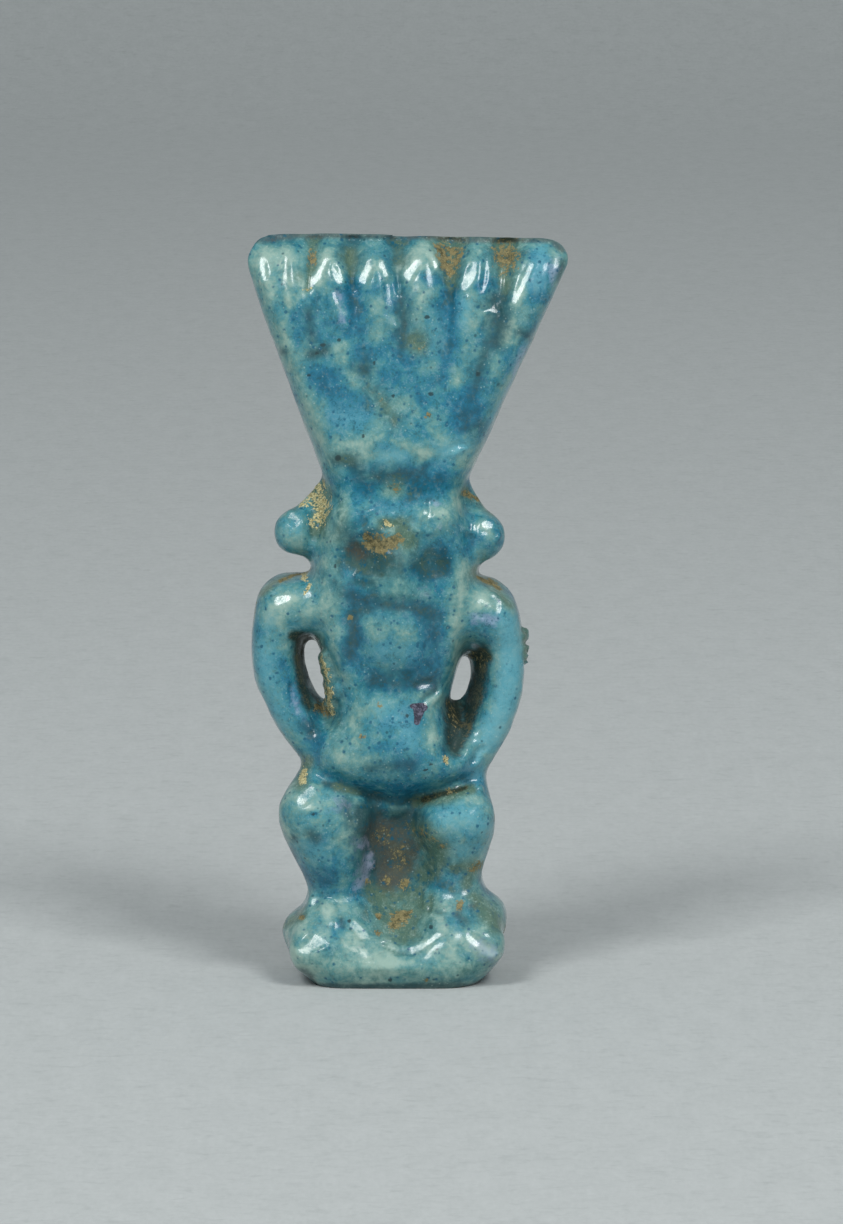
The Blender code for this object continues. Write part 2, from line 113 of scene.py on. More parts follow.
# Marks on the front, in the photograph's pixels. An oval is its middle's x and y and its two radii, and
# a stroke is its places' x, y and half widths. A number after them is the strength where it isn't 1.
WORN_TO_THE_CORE = {
    "second hollow": (312, 259, 4, 8),
    "fifth hollow": ((438, 246, 4), (446, 262, 7), (450, 272, 5)),
    "fifth hollow, right": ((446, 248, 6), (458, 254, 6), (456, 264, 5), 0.8),
    "last hollow": (506, 258, 11, 14),
    "last hollow, foot": (505, 272, 5, 8, 0.8),
    "crown, dull spot": (417, 347, 6, 4, 0.7),
    "crown, fleck": (429, 415, 3, 3, 1.2),
    "crown, smear": ((374, 393, 2), (380, 400, 3), 0.55),
    "above the brow": (395, 488, 5, 6, 0.7),
    "chip": ((370, 541, 7), (383, 544, 9), (395, 541, 7), 1.2),
    "right ear": ((465, 493, 3), (478, 500, 2), 1.1),
    "left shoulder": ((280, 581, 2), (292, 576, 2), (301, 573, 2)),
    "right shoulder": ((478, 577, 2), (492, 583, 3), (500, 590, 2)),
    "left gap, below": ((318, 706, 5), (328, 712, 5)),
    "crease, fleck": (450, 792, 4, 3),
    "right recess": (446, 760, 3, 3, 1.1),
    "web, right": ((412, 830, 7), (430, 838, 8), (444, 848, 6), 0.42),
    "web, granules": ((378, 834, 12), (396, 850, 16), (400, 866, 12), 0.31),
    "right gap, upper": ((470, 656, 5), (484, 659, 6), 0.5),
    "right recess, granules": ((450, 706, 6), (454, 732, 7), 0.45),
    "web, upper speck": (387, 840, 4, 3, 0.8),
    "web, middle speck": (401, 849, 4, 3, 0.8),
    "web, foot": (388, 880, 5, 4, 0.9),
    "web, foot, right": (404, 884, 6, 5, 0.95),
    "web, foot, left": (366, 882, 4, 3, 0.8),
    "below the right knee": ((473, 870, 4), (478, 864, 5), 0.95),
    "between the feet": ((394, 926, 5), (400, 918, 7), (410, 912, 3)),
    "between the feet, flecks": (378, 917, 3, 3, 1.2),
    "between the feet, lower": (378, 932, 3, 3),
    "right ankle": (460, 906, 4, 5, 1.2),
    "left ankle": (302, 917, 3, 3),
    "base": (427, 980, 3, 2, 0.8),
    "chest, dots": (380, 705, 4, 3, 0.7),
    "navel": (362, 737, 3, 3, 0.9),
    "mane, dot": (350, 618, 2, 2, 1.2),
}
CREAM = {
    "left ear": ((318, 489, 7), (322, 504, 7), (318, 519, 6)),
    "left ear, outer": ((302, 502, 4), (312, 498, 6)),
    "left ear, foot": (313, 520, 5, 4),
    "left shoulder": ((308, 566, 2), (304, 578, 3)),
    "left shoulder, curl": ((310, 584, 2), (305, 594, 1)),
    "left gap": ((322, 656, 2), (327, 676, 3), (330, 698, 4), 0.9),
    "left gap, foot": ((328, 702, 3), (333, 714, 2)),
    "left hip": ((305, 768, 2), (302, 782, 3)),
    "chip": ((384, 524, 3), (392, 526, 2), 0.9),
    "right recess": ((445, 757, 2), (448, 764, 2)),
    "crown, left": (307, 288, 3, 3),
}
OLIVE = {
    "first groove": (300, 277, 7, 8, 0.8),
    "second hollow": ((314, 246, 8), (311, 268, 6), (307, 289, 4), 0.8),
    "third hollow": ((348, 256, 8), (350, 274, 5), 0.9),
    "fourth hollow": ((398, 246, 8), (399, 262, 5), 0.6),
    "fifth hollow": ((450, 242, 17), (451, 262, 12), (452, 284, 5), 1.1),
    "last hollow": ((507, 243, 15), (506, 266, 13), (508, 286, 6), 1.1),
    "crown, smear": ((368, 386, 8), (382, 403, 10), (396, 420, 10), 0.65),
    "crown, dull spot": (417, 341, 9, 11, 1.3),
    "crown, foot": (345, 458, 12, 6, 0.6),
    "above the brow": (396, 488, 12, 9, 0.8),
    "chip": ((398, 526, 8), (406, 540, 11), 1.2),
    "chip, upper": ((382, 524, 6), (398, 524, 6), 1.2),
    "left ear": ((316, 486, 9), (322, 510, 9), (318, 530, 8), 1.1),
    "left ear, outer": ((290, 500, 9), (306, 486, 8)),
    "right ear": ((464, 490, 5), (486, 506, 6), (492, 514, 4), 0.8),
    "left shoulder": ((262, 594, 3), (274, 582, 4), (304, 570, 5)),
    "right shoulder": ((474, 572, 6), (496, 588, 6), (510, 606, 4)),
    "right of the right arm": ((525, 628, 3), (526, 660, 3), 1.2),
    "left gap": ((316, 640, 4), (324, 670, 5), (332, 706, 6), 0.9),
    "left of the belly": (338, 724, 8, 18, 0.5),
    "left hip": ((306, 760, 6), (300, 784, 7)),
    "crease, right": ((418, 802, 5), (446, 797, 6), (472, 789, 4), 1.2),
    "crease, left": ((336, 788, 4), (356, 793, 4), 0.8),
    "web, right": ((422, 832, 9), (438, 852, 12), (430, 872, 13), 1.2),
    "right shin": ((440, 876, 10), (452, 888, 9), 0.6),
    "web, low": ((372, 892, 8), (396, 898, 14), (420, 892, 12), 0.8),
    "web, middle": ((386, 838, 12), (402, 852, 15), (398, 870, 12), 0.8),
    "between the feet": ((380, 908, 16), (400, 926, 18), (420, 908, 16), 1.1),
    "below the right knee": ((452, 868, 5), (474, 866, 8), (466, 884, 7), 1.1),
    "right foot": ((474, 896, 8), (486, 912, 11), (496, 926, 8), 1.1),
    "left foot": ((284, 924, 6), (300, 916, 7)),
    "base, left": (322, 956, 12, 10, 0.4),
    "base, right": (460, 970, 14, 8, 0.5),
    "base, middle": (390, 974, 30, 8, 0.35),
    "face": (392, 560, 44, 50, 0.4),
    "temple": ((340, 500, 8), (338, 600, 9), 0.5),
}
# Dirt in the gaps, recesses and creases, with painted shade where shade falls in them
GRIME_AND_PAINTED_SHADE = {
    "left gap, upper": ((294, 636, 5), (306, 638, 5), (311, 642, 3), 1.2),
    "left gap": ((299, 640, 7), (300, 664, 6), (303, 688, 6), (310, 706, 6), 0.95),
    "left gap, foot": ((306, 702, 6), (320, 712, 5), 0.9),
    "right gap, upper": ((475, 655, 5), (483, 652, 7), (488, 656, 6), 1.1),
    "right gap": ((482, 656, 8), (478, 690, 8), (468, 720, 8), (458, 745, 7)),
    "right recess": ((454, 706, 9), (454, 730, 10), (454, 748, 8), 1.2),
    "crease, right": ((424, 800, 3), (446, 793, 3), (466, 788, 2), 1.1),
    "below the left ear": (302, 566, 6, 4, 0.8),
}
DEEP_BLUE = {
    "crown, right middle": ((452, 296, 6), (455, 312, 12), (450, 336, 7), (446, 378, 7), 1.1),
    "crown, right lower": (468, 412, 17, 20, 1.7),
    "crown, right corner": ((538, 258, 7), (537, 290, 8), 1.1),
    "crown, right edge": ((530, 320, 8), (520, 350, 8), (498, 372, 8), 0.6),
    "crown, below the fourth plume": (426, 280, 7, 6, 1.1),
    "crown, beside the last plume": (480, 285, 6, 6, 1.2),
    "crown, left": (322, 378, 12, 18, 0.9),
    "crown, third groove": ((352, 280, 6), (353, 316, 8), 0.9),
    "crown, left middle": (361, 350, 14, 13, 0.6),
    "crown, left lower": (343, 416, 22, 14),
    "crown, middle": ((394, 350, 10), (397, 384, 12), 0.6),
    "crown, middle lower": (424, 396, 16, 14, 0.5),
    "crown, foot": ((366, 484, 14), (400, 474, 10), (440, 478, 12), 0.9),
    "crown, foot left": (385, 448, 8, 4),
    "crown, foot middle": (414, 468, 8, 11, 1.2),
    "brow": ((366, 500, 14), (396, 504, 12), (420, 496, 12), 0.6),
    "brow, right": ((434, 534, 13), (446, 552, 10), 0.8),
    "right eye": ((416, 570, 8), (432, 574, 12), (444, 568, 9), 1.2),
    "mouth": ((364, 602, 8), (393, 607, 9), (420, 611, 11), (438, 618, 9), 0.8),
    "mouth, left": (354, 598, 7, 8, 0.9),
    "beard, left": ((354, 612, 8), (353, 640, 10), (352, 660, 9), 0.8),
    "beard, right": ((433, 616, 9), (437, 644, 12), (434, 674, 12), 0.9),
    "beard, foot": ((370, 680, 9), (406, 679, 9), (430, 680, 9), 0.9),
    "beard": (396, 652, 22, 12, 0.3),
    "chest": (402, 722, 14, 10, 0.9),
    "belly": ((398, 742, 14), (408, 758, 14), 0.7),
    "belly, lower": ((330, 772, 10), (370, 784, 10), (420, 788, 10), 0.7),
    "left arm": ((256, 612, 7), (258, 640, 8), 0.6),
    "left arm, inner": ((284, 660, 5), (294, 696, 7), (308, 722, 8), (316, 740, 8), 0.9),
    "right arm, inner": ((480, 622, 8), (492, 640, 7), 0.8),
    "right hip": (470, 774, 18, 8, 0.8),
    "left knee, dots": (312, 814, 4, 3),
    "left shin": ((322, 864, 14), (332, 880, 12), 0.5),
    "left ankle": ((330, 892, 10), (352, 890, 6), 0.5),
    "right shin": ((440, 886, 12), (456, 874, 12), 0.9),
    "left foot": ((341, 916, 5), (339, 930, 5), 0.5),
    "right toes": (440, 944, 8, 6, 0.5),
}
# Where the glaze runs thin and pale; on the plumes' tips, the brow, the ears, the shoulders, the nose, the
# chest, the knees and the feet they are painted highlights too
PALE_AND_PAINTED_HIGHLIGHTS = {
    "first plume": ((264, 252, 7), (265, 280, 8), (272, 300, 6), 0.9),
    "first plume, right": ((287, 250, 4), (286, 276, 4), (288, 304, 4), 0.9),
    "second plume": ((328, 252, 4), (322, 270, 7), (316, 284, 5), 1.1),
    "third plume, left": ((332, 262, 3), (337, 272, 4), (341, 280, 3), 0.9),
    "third plume": ((370, 262, 6), (367, 276, 8), 1.1),
    "third plume, right": ((380, 262, 3), (388, 280, 4)),
    "fourth plume": ((420, 250, 8), (412, 270, 8)),
    "chip": ((400, 528, 8), (410, 540, 8), 0.8),
    "fourth plume, right": ((431, 252, 3), (436, 266, 3)),
    "below the fourth plume": ((418, 288, 12), (424, 310, 9), 0.9),
    "crown, middle plume": ((380, 304, 8), (380, 330, 7), 0.7),
    "fifth plume": ((480, 248, 6), (470, 272, 6), (466, 286, 5), 0.9),
    "fifth plume, low": ((470, 300, 9), (466, 320, 8), 0.6),
    "last plume": ((532, 264, 4), (523, 284, 5), (516, 306, 6), (508, 340, 6)),
    "right corner": (557, 258, 6, 10),
    "crown, left edge": ((268, 306, 9), (280, 334, 11), (292, 356, 9), 0.75),
    "crown, left low": ((300, 382, 6), (316, 420, 6), (330, 470, 6), 0.7),
    "crown, grey": ((338, 348, 8), (350, 376, 8), 0.6),
    "crown, middle": ((388, 420, 12), (396, 440, 11), 0.35),
    "crown, foot left": ((342, 444, 12), (362, 446, 12), 0.6),
    "crown, foot middle": (420, 453, 8, 8, 1.6),
    "crown, low right": (457, 380, 7, 7, 0.9),
    "crown, foot centre": (395, 490, 10, 5, 0.9),
    "brow, left": (345, 508, 5, 9, 0.9),
    "brow, right": ((446, 512, 9), (456, 502, 8), 1.2),
    "mane, left": ((328, 540, 6), (325, 580, 8), (330, 630, 7), 0.8),
    "mane, left lower": ((322, 636, 6), (336, 676, 8), 0.5),
    "mane, right": ((462, 560, 5), (460, 600, 7), (457, 640, 8), (454, 660, 6), 1.1),
    "mane, right lower": ((452, 650, 8), (446, 680, 7), 0.7),
    "left ear": ((292, 520, 8), (296, 534, 9), 0.8),
    "right ear": ((484, 526, 5), (490, 534, 4), 0.9),
    "left shoulder": ((270, 618, 10), (276, 606, 9), (290, 600, 8), 1.3),
    "left shoulder, inner": (308, 604, 8, 10, 0.6),
    "right shoulder": ((482, 600, 8), (496, 604, 7), 0.8),
    "right arm": ((502, 640, 12), (512, 680, 12), (506, 736, 12), (488, 768, 10), 0.3),
    "nose": ((394, 592, 6), (406, 586, 6), 0.4),
    "muzzle": ((382, 596, 6), (424, 592, 8), 0.6),
    "beard": ((376, 624, 9), (396, 630, 14), (408, 634, 8), 0.35),
    "chest, right": ((430, 696, 7), (436, 708, 7), (430, 750, 6), 0.45),
    "chest, left": ((328, 712, 9), (330, 736, 11), (338, 756, 10), 0.7),
    "belly, left": ((352, 700, 10), (352, 740, 12), (346, 762, 13), 0.35),
    "belly, dots": (376, 704, 10, 6, 0.5),
    "left knee": ((302, 800, 14), (308, 814, 16), (300, 828, 14), 0.55),
    "left knee, inner": (336, 800, 12, 8, 0.3),
    "right knee, edge": ((474, 796, 6), (490, 812, 6), 0.8),
    "left ankle": ((316, 901, 8), (340, 900, 8), 0.9),
    "left foot": ((328, 914, 7), (322, 936, 9), (302, 950, 10), 1.3),
    "left foot, outer": ((286, 938, 8), (296, 964, 8), 0.7),
    "left toes": ((352, 928, 8), (366, 950, 12), 1.1),
    "middle of the rim": ((366, 958, 12), (390, 963, 14), (424, 960, 10)),
    "notch": ((384, 938, 8), (404, 942, 8), (424, 934, 8), 0.9),
    "rim, right": ((424, 948, 10), (446, 928, 8)),
    "right instep": ((434, 900, 9), (450, 912, 7), 0.8),
    "right foot": ((468, 940, 10), (486, 948, 13), (498, 956, 9), 1.3),
    "right foot, outer": ((500, 936, 6), (498, 960, 8), 0.6),
    "base, left": ((290, 950, 10), (314, 968, 12), 1.3),
    "base": ((298, 950, 12), (330, 966, 14), (400, 972, 13), (480, 966, 12), (502, 948, 8), 0.9),
    "feet": ((350, 950, 12), (400, 956, 10), (450, 950, 12), 0.9),
    "instep, left": ((316, 906, 12), (346, 912, 10), 0.9),
    "base, lower": ((312, 978, 9), (400, 982, 9), (490, 972, 9), 0.6),
    "all feet": ((300, 932, 18), (346, 952, 18), (400, 950, 16), (452, 950, 18), (494, 940, 16), 0.7),
}
SKY = {
    "left arm": ((262, 650, 10), (266, 690, 12), (282, 726, 10), 0.8),
    "left arm, upper": (268, 622, 10, 14, 0.5),
    "right arm": ((508, 624, 10), (512, 670, 12), (504, 712, 12), (490, 742, 10), 1.3),
    "right arm, inner": ((496, 640, 6), (492, 690, 7), 0.5),
    "right hip": ((480, 752, 8), (476, 776, 8), 0.7),
    "right knee": ((450, 818, 12), (470, 818, 16), (484, 828, 10), 0.8),
    "right knee, low": ((452, 848, 10), (478, 850, 10), 0.6),
    "left knee": (318, 806, 14, 14, 0.4),
    "left calf": ((300, 842, 8), (318, 852, 12), 0.6),
    "chest": ((384, 710, 10), (400, 720, 14), (412, 744, 10), 0.7),
    "beard": ((384, 650, 10), (404, 652, 10), 0.7),
    "crown, left lower": ((336, 416, 12), (360, 418, 12), 0.7),
    "crown, lower": ((384, 455, 8), (404, 456, 6), 0.8),
    "crown, foot right": ((444, 452, 10), (464, 446, 8), 0.9),
    "crown, right": ((466, 304, 7), (464, 320, 7), 0.7),
    "crown, right corner": ((541, 252, 7), (538, 284, 9), 0.9),
    "crown, middle": ((436, 320, 9), (438, 350, 8), 0.5),
    "crown, right edge": ((528, 340, 6), (508, 388, 6), (488, 426, 5), 0.6),
    "brow": ((388, 512, 12), (416, 520, 8), 0.4),
    "between the eyes": (404, 566, 7, 10, 0.4),
    "left ear": (292, 532, 12, 8, 0.5),
}
# Slate-dark stains, and the base's low line, which is a painted contact shadow along its bottom
SLATE_AND_SHADE = {
    "third hollow": ((350, 240, 14), (351, 258, 10), (352, 278, 5), 0.65),
    "fourth hollow": ((396, 242, 15), (398, 262, 10), (400, 280, 6), 0.6),
    "fifth hollow": ((452, 262, 10), (452, 288, 7), 0.7),
    "second groove": ((309, 312, 6), (312, 340, 6), 0.8),
    "fourth groove": ((402, 296, 7), (406, 320, 10), (404, 342, 9), 0.75),
    "last groove": ((499, 300, 10), (500, 322, 11), (496, 342, 9)),
    "last groove, low": ((488, 350, 8), (480, 368, 9), (478, 388, 8), 0.6),
    "left stain": ((312, 354, 6), (324, 350, 6)),
    "left edge": (282, 352, 7, 5, 0.8),
    "middle stain": (364, 369, 10, 8),
    "right edge": ((520, 332, 5), (528, 336, 5), 0.9),
    "right edge, low": ((470, 428, 9), (482, 424, 6), 0.7),
    "foot, left": ((336, 460, 6), (352, 462, 8), (362, 474, 8), 0.9),
    "foot": ((362, 478, 8), (396, 474, 8), (420, 472, 8), 0.9),
    "foot, right": ((424, 482, 8), (452, 480, 8), 0.5),
    "top, left": ((262, 244, 7), (330, 237, 4), (440, 239, 4), 0.4),
    "right corner": ((562, 262, 4), (560, 282, 4), 0.8),
    "left temple": ((344, 526, 9), (350, 540, 12), (352, 560, 11), 0.6),
    "left eye": ((358, 556, 11), (374, 560, 17), (386, 556, 11), 1.4),
    "left eye, upper": ((368, 530, 5), (380, 531, 3), 0.9),
    "left eye, lower": ((354, 582, 5), (372, 582, 8), 0.9),
    "right eye": ((414, 566, 9), (430, 571, 12), (444, 567, 9)),
    "between the eyes": ((398, 552, 6), (401, 570, 9), 0.8),
    "cheek, left": ((350, 594, 9), (360, 602, 8), 0.7),
    "mouth": ((366, 602, 8), (398, 606, 8), (428, 616, 9), 0.6),
    "mouth, right": ((424, 618, 7), (432, 630, 8), 0.5),
    "beard, left": ((354, 620, 7), (352, 640, 9), (346, 656, 10), 0.6),
    "beard, right": ((428, 620, 9), (436, 646, 10), (434, 674, 10), 0.45),
    "beard, foot": ((372, 682, 9), (406, 681, 10), (432, 682, 9), 0.9),
    "right shoulder's foot": (484, 642, 7, 6, 0.5),
    "left forearm": ((306, 724, 6), (314, 736, 7), 0.8),
    "belly, low": ((368, 768, 6), (410, 764, 8), 0.7),
    "crease": ((324, 784, 3), (344, 788, 4), (372, 796, 3), (398, 804, 4), (420, 800, 4)),
    "crease, middle": (392, 798, 14, 5, 0.7),
    "left knee": ((346, 806, 8), (352, 822, 8), 0.9),
    "left knee, smudge": ((310, 834, 5), (316, 838, 5)),
    "left knee, outer smudge": (294, 838, 5, 4, 0.8),
    "web": ((366, 816, 12), (378, 842, 19), (380, 872, 17), 1.6),
    "web, upper": ((398, 824, 14), (412, 816, 12), 1.2),
    "web, lower": ((372, 870, 8), (396, 872, 16), 1.1),
    "left shin": ((324, 872, 11), (334, 884, 9), 0.35),
    "right shin": (446, 876, 10, 8, 0.3),
    "right foot": ((458, 914, 4), (466, 921, 5), 0.9),
    "left foot": ((341, 918, 3), (343, 926, 3), 0.9),
    "base, left": ((302, 972, 5), (310, 977, 4), 1.2),
    # A painted contact shadow along the base's bottom
    "base, low": ((330, 986, 5), (400, 986, 5), (460, 982, 5), 0.6),
    "below the right knee": (440, 846, 8, 7, 0.3),
}
RUST = {
    "left temple": ((352, 548, 7), (362, 554, 7), 1.1),
    "right recess": ((450, 706, 8), (456, 724, 9), 1.2),
    "right gap, upper": ((470, 656, 7), (484, 658, 7), 0.9),
    "web": ((382, 834, 14), (400, 850, 16), (392, 874, 13), 1.5),
    "right corner": ((554, 241, 4), (562, 250, 3), 1.2),
    "crown's top": ((258, 239, 4), (300, 233, 4), (420, 234, 4), (470, 238, 4), (556, 238, 4), 1.5),
    "right foot": ((458, 912, 5), (472, 904, 6), 0.6),
    "left shin's edge": ((290, 850, 3), (294, 858, 3), 0.8),
}
# A violet-white sheen painted where highlights and grazing reflections fall
PAINTED_SHEEN = {
    "left shin": (361, 843, 7, 6),
    "left shin, lower": ((368, 858, 5), (363, 876, 6), (357, 886, 4), 1.2),
    "right corner": ((555, 262, 5), (552, 284, 4), 0.8),
    "crown, right edge": ((524, 350, 4), (506, 396, 5), 0.7),
    "right foot": ((478, 946, 8), (492, 954, 8), 0.9),
    "right shoulder": ((476, 617, 6), (492, 621, 6)),
    "chest": (425, 687, 6, 4),
    "left forearm": ((292, 690, 3), (298, 712, 4), 0.9),
    "brow, dots": (436, 504, 3, 3, 1.1),
    "brow, lower dots": (440, 527, 3, 4),
    "left knee": (338, 806, 9, 10, 0.6),
    "nose": (426, 593, 7, 5, 0.6),
    "crown, third groove": ((338, 296, 4), (344, 322, 4), 0.7),
}
PURPLE_FLAKE = {
    "chest": ((413, 706, 3), (424, 707, 4)),
    "chest, lower": ((419, 710, 6), (417, 722, 3)),
}
DARK_SPECKS = {
    "left of the crown": (323, 345, 3, 2),
    "beside it": (339, 340, 2, 2),
    "below it": (317, 353, 2, 2),
    "crown, middle": (427, 317, 3, 2),
    "crown, stain": (374, 363, 2, 2),
    "crown, foot": (393, 396, 2, 2),
    "crown, lower": (363, 436, 2, 2),
    "crown, right foot": (431, 394, 3, 2),
    "crown, right": (478, 374, 3, 2),
    "crown, smudge": (338, 458, 3, 3),
    "crown, left": (309, 375, 2, 2),
    "mane": (335, 566, 2, 2),
    "belly": ((423, 771, 1), (428, 769, 1)),
    "belly, upper": (431, 764, 2, 2),
    "chest": (407, 716, 2, 2),
    "left foot": (349, 921, 2, 2),
    "right foot": (431, 927, 2, 2, 1.1),
    "rim": (390, 980, 2, 2),
    "left knee": (313, 814, 2, 2),
}
# Where the glaze lost its gloss
MATT = {
    "chip": ((372, 541, 9), (390, 540, 11), (408, 540, 10), 1.2),
    "brow": ((336, 500, 8), (350, 520, 9), (380, 520, 9), (404, 520, 6), 1.2),
    "brow, top": ((340, 486, 6), (400, 490, 8), (460, 484, 6), 1.1),
    "brow, edge": ((340, 500, 5), (400, 500, 5), (420, 498, 4), 1.4),
    "brow, edge, right": ((438, 500, 4), (468, 498, 5), 1.4),
    "brow, left of the glint": ((404, 513, 5), (419, 513, 3), 1.5),
    "brow, right of the glint": ((439, 513, 4), (452, 514, 5), 1.5),
    "left ear": ((318, 489, 9), (321, 520, 8)),
    "left ear, knob": (294, 522, 12, 12, 0.45),
    "plumes, left": ((276, 250, 4), (278, 276, 4), 0.9),
    "second groove": ((299, 262, 4), (302, 290, 4)),
    "plumes' tips": ((262, 246, 5), (330, 244, 6), (420, 245, 6), (556, 244, 5), 0.9),
    "plumes, middle": ((350, 262, 5), (352, 290, 4), 0.8),
    "third plume, middle": ((375, 258, 3), (375, 276, 3), 0.9),
    "fourth plume, middle": ((424, 256, 3), (422, 276, 3), 0.9),
    "fourth groove": ((398, 262, 4), (400, 292, 4), 0.7),
    "fifth groove": ((450, 280, 4), (450, 300, 4)),
    "last groove": ((503, 290, 5), (503, 312, 5)),
    "web": ((372, 830, 12), (398, 850, 18), (420, 846, 12), 0.9),
    "web, low": ((366, 892, 14), (396, 898, 16), (424, 892, 14), 1.4),
    "between the feet": ((384, 920, 10), (404, 928, 12), 0.9),
    "left eye": ((350, 556, 12), (376, 562, 16), 1.2),
    "eyes, lower": ((364, 582, 9), (400, 584, 9), (438, 584, 11), 1.2),
    "right eye": ((420, 568, 12), (440, 568, 12), 1.1),
    "belly, low": ((330, 780, 10), (380, 796, 12), (430, 790, 12)),
    "left knee": ((322, 804, 12), (346, 804, 11), 1.2),
    "right knee": ((444, 808, 12), (464, 808, 10), 1.1),
    "left toes": (352, 942, 14, 14, 0.9),
    "right shoulder": (486, 606, 9, 8, 0.7),
    "chest foot": ((366, 690, 12), (404, 688, 12), 1.2),
    "crown's top": ((254, 238, 5), (330, 233, 5), (420, 234, 5), (556, 238, 5), 1.5),
    "crown": ((330, 470, 8), (400, 484, 12), (450, 478, 8), 0.7),
    "base": ((320, 962, 14), (400, 972, 12), (470, 968, 12), 0.7),
}
CHIP = {
    "lower": ((374, 541, 8), (392, 543, 9)),
    "upper": ((386, 526, 6), (404, 532, 9), (408, 542, 7), 0.9),
}
CHIP_DEPTH = 0.10 * MM
CHIP_RAGS, CHIP_RAGGED = 0.5 * MM, 0.12  # the size of the rags in its border, and how far they shift it
CHIP_FROM, CHIP_TO = 0.40, 0.56  # how deep in the mark its wall begins and ends
# Where the skin is smoothed once more, beyond what the solid's steps need
SMOOTHED = {
    "crown": ((290, 278, 18), (405, 280, 20), (520, 278, 16), 1.6),
    "crown, lower": ((320, 330, 20), (405, 350, 44), (490, 330, 20), 1.6),
    "crown, foot": ((370, 420, 24), (440, 420, 24), 1.4),
    "brow, top": ((340, 490, 10), (400, 492, 12), (462, 488, 10), 1.4),
    "eyes, lower": ((356, 580, 10), (446, 582, 10), 1.4),
    "beard, foot": ((372, 682, 10), (432, 684, 10), 1.4),
    "knees": ((320, 802, 12), (346, 802, 10), 1.2),
    "right knee": ((446, 806, 12), (470, 808, 10), 1.2),
    "web, low": ((372, 894, 12), (396, 898, 14), (424, 894, 12), 1.4),
    "left toes": (352, 940, 12, 12, 1.2),
}
SMOOTHED_BY = 0.3 * MM
# The crown's top rim, which is worn round, lies above these heights
RIM_FROM, RIM_TO = 32.7 * MM, 33.3 * MM
RIM_BLUR = 14
# The V-shaped hollows between the tips of the plumes
HOLLOWS = {
    "second": ((318, 234, 12), (313, 262, 8), (308, 292, 3)),
    "third": ((350, 234, 22), (351, 258, 15), (352, 290, 4)),
    "fourth": ((396, 234, 21), (398, 260, 14), (400, 292, 4)),
    "fifth": ((452, 236, 25), (452, 262, 17), (452, 298, 4)),
    "last": ((507, 236, 24), (506, 262, 18), (505, 300, 6)),
}
HOLLOW_DEPTH = 0.13 * MM
# Where the glaze lies so that it mirrors a softbox to the camera
GLINTS = {
    "first plume": ((262, 258, 3), (264, 280, 3)),
    "first plume, right": ((286, 254, 2), (285, 276, 3), (288, 300, 2)),
    "second plume": ((327, 259, 3), (313, 283, 4)),
    "third plume, left": ((331, 264, 2), (341, 280, 3)),
    "third plume": ((371, 264, 3), (362, 280, 5)),
    "third plume, right": ((380, 264, 2), (388, 280, 3)),
    "fourth plume": ((420, 260, 3), (407, 275, 5)),
    "fourth plume, right": ((430, 253, 2), (436, 267, 3)),
    "fifth plume": ((476, 262, 3), (464, 287, 4)),
    "fifth plume, right": ((487, 258, 2), (483, 294, 2)),
    "last plume": ((533, 264, 3), (524, 282, 4), (516, 303, 3)),
    "right corner": ((557, 253, 3), (556, 266, 4)),
    "third groove": ((335, 291, 3), (337, 303, 4), (343, 316, 5), (345, 327, 3)),
    "fourth groove": ((388, 283, 3), (389, 306, 4), (388, 316, 5), (394, 326, 4)),
    "right middle": ((477, 308, 3), (481, 320, 3)),
    "right bar": ((485, 311, 3), (498, 312, 3)),
    "crown's foot": ((453, 452, 4), (459, 447, 4), (464, 447, 3)),
    "above the chip": ((362, 531, 3), (371, 519, 4), (380, 513, 4), (388, 513, 3)),
    "right of the chip": ((409, 519, 3), (413, 523, 4), (417, 530, 3)),
    "brow, right": ((429, 503, 3), (429, 516, 3), (424, 524, 3), (429, 531, 4), (434, 524, 3)),
    "under the left eye": ((360, 577, 3), (370, 574, 3), (382, 577, 3)),
    "right ear": ((482, 534, 4), (489, 530, 4), (496, 536, 4)),
    "right ear, upper": ((484, 524, 4), (490, 525, 4)),
    "left ear": ((293, 516, 5), (298, 522, 5)),
    "left shoulder": ((278, 604, 3), (288, 599, 4)),
    "right shoulder": ((493, 596, 3), (499, 603, 4), (498, 613, 3)),
    "right shoulder, dots": ((475, 617, 2), (484, 619, 3), (493, 624, 2)),
    "chest": ((420, 687, 4), (430, 686, 4)),
    "chest, lower": ((426, 702, 4), (436, 694, 5)),
    "left forearm": ((292, 686, 3), (298, 710, 5), (307, 727, 4)),
    "right forearm": ((482, 750, 4), (475, 762, 4)),
    "left knee": ((302, 800, 5), (312, 790, 5)),
    "left knee, right": ((341, 801, 3), (346, 803, 3)),
    "right knee": ((478, 790, 4), (472, 801, 4)),
    "left shin": ((369, 852, 3), (371, 866, 3)),
    "left ankle": ((314, 901, 5), (327, 901, 5)),
    "left foot": ((327, 908, 6), (328, 923, 7), (320, 938, 7), (302, 951, 5)),
    "left toes": ((354, 924, 4), (363, 935, 5)),
    "rim": ((384, 945, 2), (398, 951, 3), (412, 951, 4), (428, 943, 3), (438, 934, 3)),
    "right toes": ((469, 934, 3), (480, 944, 4), (493, 956, 5)),
    "right instep": ((428, 894, 3), (428, 908, 3)),
}
GLINT_LIMIT = 0.16 * MM  # the most that the skin moves for one
GLINT_FOLLOWS = 0.5  # how much of the form along a glint is kept
GLINT_FROM, GLINT_TO = 1.8, 0.9  # in half widths, where the turned skin begins and where it is whole

